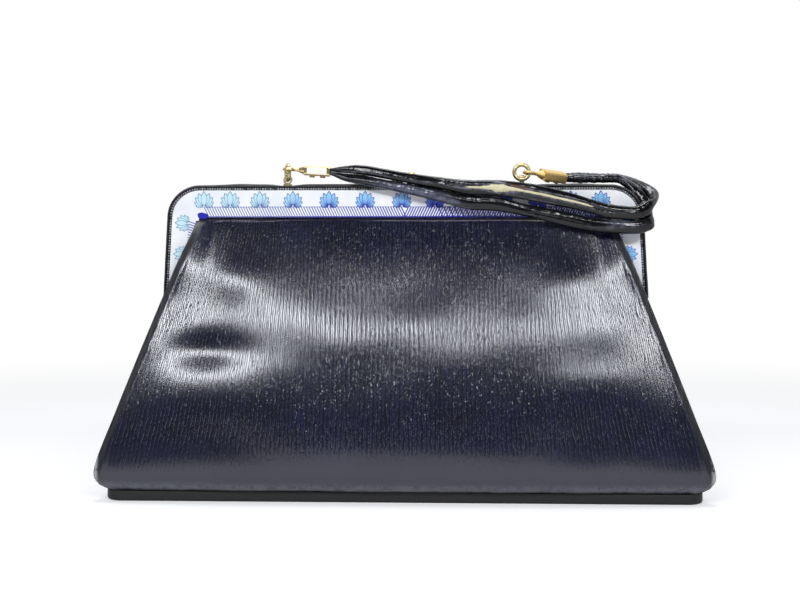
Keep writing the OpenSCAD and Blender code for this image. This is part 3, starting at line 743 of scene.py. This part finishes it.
for name, facing, half in (("front_lining", 1, "front_half"), ("back_lining", -1, "back_half")):
    piece = netted(name + "_cloth", lining["columns"], lining["rows"], liningPlace(facing))
    merged(piece)
    walled(piece, (0, -facing * lowY * mm, 0.07), (0, facing, 0), lining["wall"])
    dress(finishes["lining"], "lining_cloth", piece)
    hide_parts(name)
    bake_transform(piece)
print("lining sewn")

# base: leather drawn round the stiff board, painted near black, partly as the shade under the bag
base = {"size": (297, 69.4, 5.2), "corner": 9, "wall": 4.5, "skin": 1.6, "edge": 1.5}
shellAngle = 35                                          # smoothing angle of bevelled pieces
letGo()
bpy.ops.mesh.primitive_cube_add(size=1, location=(0, 0, base["size"][2] / 2 * mm),
                                scale=[side * mm for side in base["size"]])
basePiece = called("base_leather")
settled(basePiece)


def picked(piece, test, mode="FACE"):
    # faces or edges of the piece that pass the test, chosen by place or direction
    editing(piece, mode)
    bpy.ops.mesh.select_all(action="DESELECT")
    bpy.ops.object.mode_set(mode="OBJECT")
    parts = piece.data.polygons if mode == "FACE" else piece.data.edges
    for part in parts:
        if mode == "FACE":
            part.select = test(part)
        else:
            ends = [piece.data.vertices[i].co for i in part.vertices]
            part.select = test(ends[0], ends[1])
    bpy.ops.object.mode_set(mode="EDIT")


picked(basePiece, lambda a, b: abs(a.z - b.z) > 1 * mm, "EDGE")
bpy.ops.mesh.bevel(offset=base["corner"] * mm, segments=10, affect="EDGES")
picked(basePiece, lambda face: face.normal.z > 0.9)
bpy.ops.mesh.inset(thickness=base["wall"] * mm)
bpy.ops.mesh.extrude_region_move(TRANSFORM_OT_translate={
    "value": (0, 0, (base["skin"] - base["size"][2]) * mm)})
picked(basePiece, lambda a, b: a.z < 1e-6 and b.z < 1e-6, "EDGE")
bpy.ops.mesh.bevel(offset=base["edge"] * mm, segments=4, affect="EDGES")
letGo()
merged(basePiece)
smooth(basePiece, shellAngle)
dress(finishes["base"], "plain_leather", basePiece)
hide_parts("base_panel")
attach(basePiece, "bag")
print("base wrapped")

# piping and edge cover: both follow the bent frame, so they share its outline
rim = {"corner": 17, "splay": 3.3, "legEnd": 101.4, "lower": 1, "bead": 0.72, "beadIn": 1.95,
       "beadY": 6.3, "beadPitch": 1.3, "beadAround": 12, "ringsPerBead": 5, "coverIn": 0.6,
       "coverHalf": 0.85, "coverY": 3.5, "coverDepth": 3.3, "coverAround": 22, "coverRings": 420,
       "drawnIn": 60}
cornerZ = body["frameTop"] - rim["corner"]
lean = math.radians(rim["splay"])
cornerX = body["frameHalf"] - (rim["corner"]
                               + (cornerZ - body["hinge"]) * math.sin(lean)) / math.cos(lean)


def frameRun(inset):
    # gives a function of the distance along the frame, from the right leg over the top to the left
    radius = rim["corner"] - inset
    leg = (cornerZ + radius * math.sin(lean) - rim["legEnd"] + rim["lower"]) / math.cos(lean)
    arc = radius * (math.pi / 2 - lean)
    half = leg + arc + cornerX

    def at(distance):
        side = 1 if distance <= half else -1
        rest = distance if side > 0 else 2 * half - distance
        if rest >= leg + arc:
            return side * (cornerX - (rest - leg - arc)), cornerZ + radius, 0, 1
        a = lean + max(0, rest - leg) / radius
        below = max(0, leg - rest)
        c, d = math.cos(a), math.sin(a)
        return (side * (cornerX + radius * c + below * d), cornerZ + radius * d - below * c,
                side * c, d)
    return at, 2 * half


def beadPlace(facing):
    at, run = frameRun(rim["beadIn"])
    beads = round(run / rim["beadPitch"])

    def place(s, t):
        x, z, nx, nz = at(run * t)
        a = 2 * math.pi * s
        wave = abs(math.sin(math.pi * beads * t))
        # painted highlight: the outward face of each bead's crest, made silvery in the material
        crown = wave ** 3 * max(0, math.sin(a)) ** 2
        r = rim["bead"] * (0.80 + 0.17 * wave ** 0.7)
        r += 0.03 * noise.noise((t * 300, s * 3, facing))
        sag = 0.12 * noise.noise((x * 0.03, facing * 3.0, 1.0))
        out = r * math.cos(a) + sag
        y = facing * (rim["beadY"] + r * math.sin(a))
        return Vector((x + nx * out, y, z + nz * out)) * mm, crown
    return place, beads


def coverPlace(facing):
    at, run = frameRun(rim["coverIn"])

    def place(s, t):
        x, z, nx, nz = at(run * t)
        a = 2 * math.pi * s
        c, d = math.cos(a), math.sin(a)
        crown = math.copysign(abs(c) ** 0.7, c) * rim["coverHalf"]
        depth = math.copysign(abs(d) ** 0.6, d) * rim["coverDepth"]
        out = crown
        if c > 0:                                        # drawn in at the feet, slack between them
            level = ease(100, 84, abs(x)) * (1 if z > 150 else 0)
            slack = 0.5 - 0.9 * math.exp(-((abs(x) - rim["drawnIn"]) / 7) ** 2)
            slack += 0.5 * noise.noise((x * 0.035, 2.0, facing))
            out += c * (level * slack + 0.2 * noise.noise((t * run * 0.09, depth * 0.3, facing))
                        + 0.07 * noise.noise((t * run * 0.5, depth * 0.8, facing + 5)))
        ripple = 0.14 * noise.noise((t * run * 0.16, 3.0, facing)) * (1 if d > 0 else 0)
        y = facing * (rim["coverY"] + depth + ripple)
        return (Vector((x + nx * out, y, z + nz * out)) * mm,)
    return place


for name, facing, half in (("front", -1, "front_half"), ("back", 1, "back_half")):
    place, beads = beadPlace(facing)
    rings = beads * rim["ringsPerBead"]
    bead = netted(name + "_bead", rim["beadAround"], rings, place, ("crown",))
    cover = netted(name + "_edge_cover", rim["coverAround"], rim["coverRings"], coverPlace(facing))
    for piece in (bead, cover):
        tube(piece)
        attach(piece, half)
    dress(finishes["piping"], "piping_leather", bead)
    dress(finishes["plain"], "plain_leather", cover)
    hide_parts(name + "_piping")
    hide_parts(name + "_cover")
print("piping and edge covers bent round the frame")

# printed border: one leaf of overlapping petals, copied along the plate, and a hatched band
border = {"thick": 0.03, "step": 0.022, "footIn": 10.8, "line": 0.32, "sideSize": 0.86,
          # petals from the outermost pair to the middle one: degrees, length, width
          "petals": [(88, 4.5, 1.9), (67, 5.6, 2.5), (45, 6.6, 2.8), (23, 7.4, 3.0),
                     (0, 7.9, 3.3)],
          "topPlaces": [-102.7, -89.2, -73.9, -56.9, -38.3, -19.8, -1.1, 15.8, 33.3, 50.8, 68.2,
                        84.6, 99.9],
          "legDrops": [19.5, 35.5, 51.5], "band": (11.15, 16.15), "stroke": 0.5, "pitch": 1.35,
          "slant": 2.4, "layer": 0.034, "short": 3.4, "crossedFrom": 18, "outerLine": 0.26,
          "innerLine": 0.55, "patchIn": 1.4, "patchUp": 0.5, "patchHalf": (2.8, 1.7),
          "patchLift": 0.11}


def flatPiece(name, outline, height):
    # a thin plate with the given outline in x and z, its back at y = -height
    letGo()
    bpy.ops.mesh.primitive_circle_add(vertices=len(outline), radius=1, fill_type="NGON")
    piece = called(name)
    for point, (x, z) in zip(piece.data.vertices, outline):
        point.co = (x * mm, -height * mm, z * mm)
    editing(piece, "FACE")
    bpy.ops.mesh.select_all(action="SELECT")
    bpy.ops.mesh.extrude_region_move(TRANSFORM_OT_translate={
        "value": (0, -border["thick"] * mm, 0)})
    bpy.ops.mesh.select_all(action="SELECT")
    bpy.ops.mesh.normals_make_consistent(inside=False)
    letGo()
    return piece


def joined(name, pieces):
    take(*pieces)
    bpy.ops.object.join()
    return called(name)


def petalOutline(degrees, length, width, margin):
    # pointed at the tip, fullest just past the middle
    angle = math.radians(degrees)
    side = []
    for f in (0, 0.18, 0.38, 0.58, 0.78, 0.92, 1):
        r = 0.5 + margin * 0.9 + (length - 0.5 - margin * 2.3) * f
        h = width / 2 * math.sin(math.pi * min(1, 0.12 + 0.88 * f)) ** 0.75
        side.append((r, max(0, h - margin * 0.8 * (f < 1))))
    loop = side + [(r, -h) for r, h in side[-2::-1]]
    return [(r * math.sin(angle) + h * math.cos(angle), r * math.cos(angle) - h * math.sin(angle))
            for r, h in loop]


def leafModel(name, margin):
    # petals lie over one another; with a margin they are smaller and leave an outline round them
    parts = []
    for level, (degrees, length, width) in enumerate(border["petals"]):
        for turn in sorted({degrees, -degrees}):
            height = border["step"] * (2 * level + (1 if margin else 0))
            parts.append(flatPiece("petal", petalOutline(turn, length, width, margin), height))
    leaf = joined(name, parts)
    foot = leaf.data.attributes.new("foot", "FLOAT", "POINT")
    foot.data.foreach_set("value", [ease(3.4, 1.0, point.co.xz.length / mm)
                                    for point in leaf.data.vertices])
    return leaf


def legX(z, inset):
    # the place across of a line that runs down the leg at a distance from its outer edge
    return cornerX + (rim["corner"] - inset) * math.cos(lean) + (cornerZ - z) * math.tan(lean)


def leafPlaces():
    for x in border["topPlaces"]:
        yield x, body["frameTop"] - border["footIn"], 0
    for side in (1, -1):
        for drop in border["legDrops"]:
            z = body["frameTop"] - drop
            yield side * legX(z, border["footIn"]), z, side * (math.pi / 2 - lean)


def spread(model, name, facing):
    copies = []
    for x, z, turn in leafPlaces():
        copy = model.copy()
        copy.data = model.data.copy()
        bpy.context.collection.objects.link(copy)
        size = border["sideSize"] if turn else 1
        copy.data.transform(Matrix.Translation((x * mm, -body["plateFace"] * mm, z * mm))
                            @ Matrix.Rotation(turn, 4, "Y") @ Matrix.Diagonal((size, 1, size, 1)))
        if facing > 0:
            copy.data.transform(Matrix.Rotation(math.pi, 4, "Z"))
        copies.append(copy)
    return joined(name, copies)


def bandPieces(facing):
    # strokes lean one way on the left and the other way on the right, where a second set crosses
    outer, inner = [body["frameTop"] - inset for inset in border["band"]]
    reach, parts = cornerX - border["short"], []

    def bar(a, b, width, layer):
        along = (Vector(b) - Vector(a)).normalized()
        nx, nz = -along.y * width / 2, along.x * width / 2
        outline = [(end[0] + turn * nx, end[1] + turn * nz)
                   for end, turn in ((a, 1), (b, 1), (b, -1), (a, -1))]
        parts.append(flatPiece("stroke", outline, body["plateFace"] + layer * border["layer"]))

    for i in range(int(2 * reach / border["pitch"]) + 1):
        x = -reach + i * border["pitch"]
        slant = border["slant"] / 2 * (-1 if x < 0 else 1)
        width = border["stroke"] * (0.8 + 0.55 * ease(-60, 40, x))
        bar((x - slant, inner), (x + slant, outer), width, 0)
        if x > border["crossedFrom"] and i % 2:
            bar((x + slant, inner), (x - slant, outer), width * 0.8, 1)
    bar((-reach - 1, outer), (reach + 1, outer), border["outerLine"], 2)
    bar((-reach - 2, inner), (reach + 2, inner), border["innerLine"], 2)
    for side in (1, -1):
        for i in range(int((cornerZ - 1 - rim["legEnd"]) / border["pitch"])):
            z = rim["legEnd"] + 0.8 + i * border["pitch"]
            ends = [(side * legX(z + rise, inset), z + rise)
                    for inset, rise in zip(border["band"][::-1], (-0.9, 0.9))]
            bar(ends[0], ends[1], border["stroke"], 0)
    name = "front" if facing < 0 else "back"
    band = joined(name + "_hatch_print", parts)
    parts = []
    halfWide, halfHigh = border["patchHalf"]
    for way in (1, -1):                                  # colour has run at the mouth corners
        outline = []
        for k in range(14):
            a = way * math.pi * k / 7
            right = halfWide * math.cos(a) * (1 + 0.14 * math.sin(3 * a + way))
            up = halfHigh * math.sin(a) * (1 + 0.1 * math.sin(2 * a))
            outline.append((way * (cornerX - border["patchIn"] + right),
                            inner + border["patchUp"] + up))
        parts.append(flatPiece("patch", outline, body["plateFace"] + border["patchLift"]))
    patch = joined(name + "_corner_print", parts)
    for piece in (band, patch):
        if facing > 0:
            piece.data.transform(Matrix.Rotation(math.pi, 4, "Z"))
    return band, patch


leafOutline, leafFill = leafModel("leaf outline", 0), leafModel("leaf fill", border["line"])
for name, facing, half in (("front", -1, "front_half"), ("back", 1, "back_half")):
    outlines = spread(leafOutline, name + "_leaf_outline", facing)
    fills = spread(leafFill, name + "_leaf_fill", facing)
    band, patch = bandPieces(facing)
    for piece, finish in ((outlines, "outline"), (fills, "leaf"), (band, "hatch"),
                          (patch, "solid")):
        dress(finishes[finish], "leaf_blue" if finish == "leaf" else "cobalt_blue", piece)
        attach(piece, half)
    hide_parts(name + "_leaves")
    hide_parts(name + "_hatch")
take(leafOutline, leafFill)
bpy.ops.object.delete()
print("border printed")

# pale inlay in the front of the left clamp
inlay = {"centre": (-44.27, -10.06, 164.93), "size": (10.2, 0.5, 3.3), "tilt": 3.5, "edge": 0.2,
         "corner": 0.7, "raised": 0.12}
letGo()
bpy.ops.mesh.primitive_cube_add(size=1, location=[c * mm for c in inlay["centre"]],
                                rotation=(0, math.radians(inlay["tilt"]), 0),
                                scale=[side * mm for side in inlay["size"]])
plate = called("left_clamp_inlay")
settled(plate)
picked(plate, lambda a, b: abs(a.y - b.y) > 0.3 * mm, "EDGE")
bpy.ops.mesh.bevel(offset=inlay["corner"] * mm, segments=4, affect="EDGES")
picked(plate, lambda face: face.normal.y < -0.9)
bpy.ops.mesh.inset(thickness=inlay["edge"] * mm)
bpy.ops.transform.translate(value=(0, -inlay["raised"] * mm, 0))
letGo()
smooth(plate, shellAngle)
dress(finishes["pearl"], "white_enamel", plate)
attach(plate, "left_link")
print("clamp inlay set")

# handle: two leather rolls on one route, from the left clamp over the front, round the right
# corner and back along the frame top to the right clamp
strap = {
    "width": 17.6, "thick": 4.6, "drop": 17.6, "fill": 0.96, "tuck": 6, "padding": 0.85,
    "frontY": -11.45, "lieZ": 161.05, "outX": 121.5,
    "leftEnd": (-37.781, -6.258, 164.831), "leftWay": (0.998135, 0, -0.061049),
    "rightEnd": (82.0194, 7.5597, 162.3603), "rightWay": (0.862730, 0.498097, -0.087156),
    "heading": 30, "roll": 20, "mouthHeight": 3.5, "mouthWidth": 6.0,
    "around": 48, "ringsPerStep": 22,
    # the following are steps along the route, or a step and a spread
    "gapFrom": 6.9, "gapTo": 10.2, "gap": 1.7,
    "bulge": (6.95, 0.38), "torn": (7.55, 0.3), "splitLow": (7.9, 0.9), "bent": (14.3, 1.9),
    "core": (5.8, 9.7), "coreAround": 20, "coreRings": 220,
    # where the turn round the corner is evened out: fully between the middle two steps
    "evened": (10.4, 12.6, 16.2, 18.4), "evenReach": 1.25,
    "averaged": (12.3, 13.6, 16.2, 17.6), "averageReach": 1.0,
}


def strapRow(place, width, thick, across, gape=0):
    return tuple(place) + (width, thick) + tuple(across) + (gape,)


def frontRow(share, ahead, drop, wide, tilt, gape=0):
    left = strap["leftEnd"][0]
    return strapRow((left + (strap["outX"] - 9.5 - left) * share, strap["frontY"] - ahead,
                     body["frameTop"] - strap["drop"] * drop),
                    strap["width"] * wide, strap["thick"], (0, tilt, 1), gape)


def backX(share):
    return strap["rightEnd"][0] + (strap["outX"] - strap["rightEnd"][0]) * share


leftEnd, rightEnd = Vector(strap["leftEnd"]), Vector(strap["rightEnd"])
leftWay, rightWay = Vector(strap["leftWay"]), Vector(strap["rightWay"])
heading, rolled = math.radians(strap["heading"]), math.radians(strap["roll"])
clampAcross = (-math.sin(heading) * math.cos(rolled), math.cos(heading) * math.cos(rolled),
               math.sin(rolled))
top, outX, drop = body["frameTop"], strap["outX"], strap["drop"]
w, thick = strap["width"], strap["thick"]
mouthHigh, mouthWide = strap["mouthHeight"], strap["mouthWidth"]
# rows along the route: place, width, thickness, the way across, how far the seam gapes
route = [
    strapRow(leftEnd - leftWay * strap["tuck"], mouthHigh, mouthWide, (0, 0, 1)),
    strapRow(leftEnd, mouthHigh, mouthWide, (0, 0, 1)),
    strapRow(leftEnd + Vector((8, -1.6, -1)), w * 0.46, thick + 0.2, (0, 0.1, 1)),
    frontRow(0.119, -1.2, -0.265, 0.59, 0.15), frontRow(0.252, 0, -0.05, 0.62, 0.1),
    frontRow(0.372, 0.2, 0.145, 0.73, 0.05), frontRow(0.472, 0.3, 0.3, 0.875, 0, 0.6),
    frontRow(0.579, 0.5, 0.34, 0.94, 0, 1), frontRow(0.686, 0.9, 0.48, 1, 0, 0.7),
    frontRow(0.813, 1.9, 0.75, 0.99, 0, 0.6), frontRow(0.92, 3.2, 0.97, 0.875, 0, 0.2),
    frontRow(1, 3.6, 1.04, 0.83, 0),
    strapRow((outX - 2.6, strap["frontY"] - 2.9, top - drop * 1.04), w * 0.83, thick,
             (0, 0.05, 1)),
    strapRow((outX + 3.4, -11.3, top - drop * 0.92), w * 0.85, thick, (0.1, 0.15, 1)),
    strapRow((outX + 5.6, -5.8, top - drop * 0.69), w * 0.88, thick, (0.25, 0.3, 0.95)),
    strapRow((outX + 4.6, 0.2, top - drop * 0.32), w * 0.92, thick, (0.4, 0.55, 0.72)),
    strapRow((outX - 0.6, 4.8, top + 0.7), w * 0.94, thick, (0.35, 0.95, 0.3)),
    strapRow((backX(0.78), 6.3, strap["lieZ"] + 0.8), w * 0.93, thick, (0, 1, 0.1)),
    strapRow((backX(0.5), 7.2, strap["lieZ"] + 0.9), w * 0.83, thick, (0, 1, 0.1)),
    strapRow((backX(0.215), 8.2, strap["lieZ"] + 1.2), w * 0.6, thick, (-0.2, 1, 0.2)),
    strapRow(rightEnd, mouthWide, mouthHigh, clampAcross),
    strapRow(rightEnd - rightWay * strap["tuck"], mouthWide, mouthHigh, clampAcross)]
routeEnd = len(route) - 1

perStep = 20
travel = [0]                                             # distance along the route so far
for i in range(routeEnd * perStep):
    here, there = [Vector(spline(route, k / perStep)[:3]) for k in (i, i + 1)]
    travel.append(travel[-1] + (there - here).length)


def through(steps, t):
    # 0 outside the first and last of four steps, 1 between the middle two
    return ease(steps[0], steps[1], t) * ease(steps[3], steps[2], t)


def hump(middle, spread, t):
    return math.exp(-((t - middle) / spread) ** 2)


def routeAt(t):
    # the turn round the frame corner is evened out
    t = max(0, min(routeEnd, t))
    reach = strap["evenReach"] * through(strap["evened"], t)
    if reach == 0:
        return spline(route, t)
    rows = [spline(route, t + reach * step / 4) for step in range(-4, 5)]
    return tuple(sum(column) / len(rows) for column in zip(*rows))


known = {}                                               # sections already worked out


def strapAt(t):
    if t in known:
        return known[t]
    row = routeAt(t)
    before, after = routeAt(t - 0.05), routeAt(t + 0.05)
    along = (Vector(after[:3]) - Vector(before[:3])).normalized()
    wide = Vector(row[5:8])
    wide = (wide - along * wide.dot(along)).normalized()
    i = min(len(travel) - 2, int(t * perStep))
    distance = travel[i] + (travel[i + 1] - travel[i]) * (t * perStep - i)
    known[t] = (Vector(row[:3]), wide, along.cross(wide), row[3] * strap["fill"], row[4],
                max(0, row[8]), distance)
    return known[t]


def rollSpan(t, side, width):
    # middle and half width of one roll: the upper one is the wider where the handle is widest
    split = -0.08 * width * hump(*strap["splitLow"], t)
    gap = 0.15 + strap["gap"] * ease(strap["gapFrom"], strap["gapFrom"] + 0.8, t) \
        * ease(strap["gapTo"], strap["gapTo"] - 0.8, t)
    inner = split + side * gap / 2
    outer = side * width / 2
    return (inner + outer) / 2, abs(outer - inner) / 2


def opening(t):
    # how far the split seam stands open there: the half angle it takes of the roll, in degrees
    return 9 + 17 * hump(*strap["bulge"], t)


def rollPlace(side, first, last):
    def place(s, t):
        # a point is evened out with its neighbours along the turn
        station = round(first + (last - first) * t, 6)
        found = section(s, station)
        reach = strap["averageReach"] * through(strap["averaged"], station)
        if reach > 0:
            near = [section(s, round(station + reach * step / 3, 6))[0]
                    for step in (-3, -2, -1, 1, 2, 3)]
            found = (sum(near, found[0]) / 7,) + found[1:]
        return found

    def section(s, station):
        centre, wide, facing, width, thick, gape, far = strapAt(station)
        crowd = 0.55 * ease(13.5, 11.5, station)        # more points on the side that is seen
        a = 2 * math.pi * s - crowd * math.sin(2 * math.pi * s)
        angle = math.degrees(a) if a < math.pi else math.degrees(a) - 360
        middle, half = rollSpan(station, side, width)
        sa, ca = math.sin(a), math.cos(a)
        girth = math.radians(angle) * half
        firm = ease(0.9, 2.2, station) * ease(20.1, 18.9, station)
        ridge, torn, share = 0.0, 0.0, 1.0
        if side > 0 and gape > 0.02:
            spread = opening(station)
            share -= 0.5 * min(1, gape * 1.3) * math.exp(-(angle / spread) ** 4)
            lip = hump(spread * 1.35, 7, abs(angle)) * min(1, gape * 1.5)
            share += 0.07 * lip
            ridge += 0.8 * lip
            torn = hump(*strap["torn"], station) * hump(-spread * 1.6, 14, angle)
        # wrinkles across the roll and creases along it, each coarse and fine, and slow puffs
        across = noise.noise((far * 0.42, girth * 0.10, side * 3.0 + 20))
        acrossFine = noise.noise((far * 1.05, girth * 0.28, side * 5.0 + 40))
        along = noise.noise((far * 0.035, girth * 0.42, side * 7.0 + 60))
        alongFine = noise.noise((far * 0.06, girth * 0.95, side * 7.0 + 80))
        puff = noise.noise((far * 0.07, side * 2.0, 90.0))
        bent = hump(*strap["bent"], station)
        lift = firm * (0.16 * puff + (0.20 + 0.25 * bent) * across + 0.07 * acrossFine
                       + 0.30 * along + 0.12 * alongFine)
        crinkled = through((16.0, 17.0, 19.3, 19.9), station)
        lift += crinkled * (0.22 * acrossFine + 0.3 * across)
        # the crests of the crinkles are marked as ridges, which the material paints lighter as a
        # highlight
        ridge += 0.55 * crinkled * ease(0.1, 0.5, acrossFine + 0.4 * across)
        ridge += ease(0.22, 0.46, along + 0.35 * alongFine) * 0.5
        ridge += 0.3 * hump(72, 7, angle * side) * through((6.2, 7.2, 10.5, 11.5), station)
        halfWide = (half + lift * 0.5) * share
        halfThick = (thick / 2 + lift) * share
        out = wide * (middle - math.copysign(abs(sa) ** 0.92, sa) * halfWide) \
            + facing * (math.copysign(abs(ca) ** 0.85, ca) * halfThick)
        # part of the lower roll near the left, between steps 3 and 6, is marked for a painted
        # sheen
        lower_roll_sheen = 0 if side > 0 else through((3.0, 3.9, 4.7, 5.9), station) * hump(25, 55, angle)
        return (centre + out) * mm, min(1, ridge), torn, lower_roll_sheen
    return place


def corePlace(s, t):
    station = strap["core"][0] + (strap["core"][1] - strap["core"][0]) * t
    centre, wide, facing, width, thick, gape, far = strapAt(station)
    middle, half = rollSpan(station, 1, width)
    a = 2 * math.pi * s
    bulge = hump(*strap["bulge"], station)
    lump = 1 + 0.28 * noise.noise((far * 0.5, math.sin(a) * 0.8, math.cos(a) * 0.8)) \
        + 0.16 * noise.noise((far * 1.5, math.sin(a) * 1.4, math.cos(a) * 1.4))
    taper = ease(0, 0.05, t) * ease(1, 0.93, t)
    halfWide = half * math.sin(math.radians(opening(station))) * 1.08 * lump * taper + 0.02
    halfThick = (0.75 + 0.5 * bulge) * lump * taper + 0.02
    deep = thick / 2 * (0.52 + 0.16 * bulge) + 0.35
    return ((centre + wide * (middle - halfWide * math.sin(a))
             + facing * (deep + halfThick * math.cos(a))) * mm,)


# stretches of the handle: name, first and last step, and the two parts and places between which it
# would bend; only whether that entry is there is read: without it a stretch is attached to the
# front half, with it the stretch stays in place
stretches = [
    ("left_tip", 0, 2, ("left_ring", "left_link",
                        (-0.030, -0.007, 0.165), (-0.0375, -0.007, 0.165))),
    ("left_neck", 2, 5, ("front_half", "left_ring",
                         (0.014, -0.010, 0.160), (-0.028, -0.007, 0.165))),
    ("middle", 5, 17, None),
    ("right_neck", 17, 19, ("front_half", "right_ring",
                            (0.112, 0.006, 0.162), (0.092, 0.008, 0.162))),
    ("right_tip", 19, 21, ("right_ring", "right_link",
                           (0.0895, 0.008, 0.162), (0.0825, 0.0076, 0.162))),
]
for name, side in (("upper", 1), ("lower", -1)):
    for part, first, last, link in stretches:
        rings = (last - first) * strap["ringsPerStep"]
        piece = netted(name + "_roll_" + part, strap["around"], rings,
                       rollPlace(side, first, last), ("ridge", "torn", "lower_roll_sheen"))
        tube(piece)
        dress(finishes["handle"], "handle_leather", piece)
        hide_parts(name + "_roll")
        if link:
            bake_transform(piece)
        else:
            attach(piece, "front_half")
core = netted("handle_padding", strap["coreAround"], strap["coreRings"], corePlace)
tube(core)
dress(finishes["core"], "core_cloth", core)
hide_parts("handle_core")
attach(core, "front_half")
print("handle laid along its route")
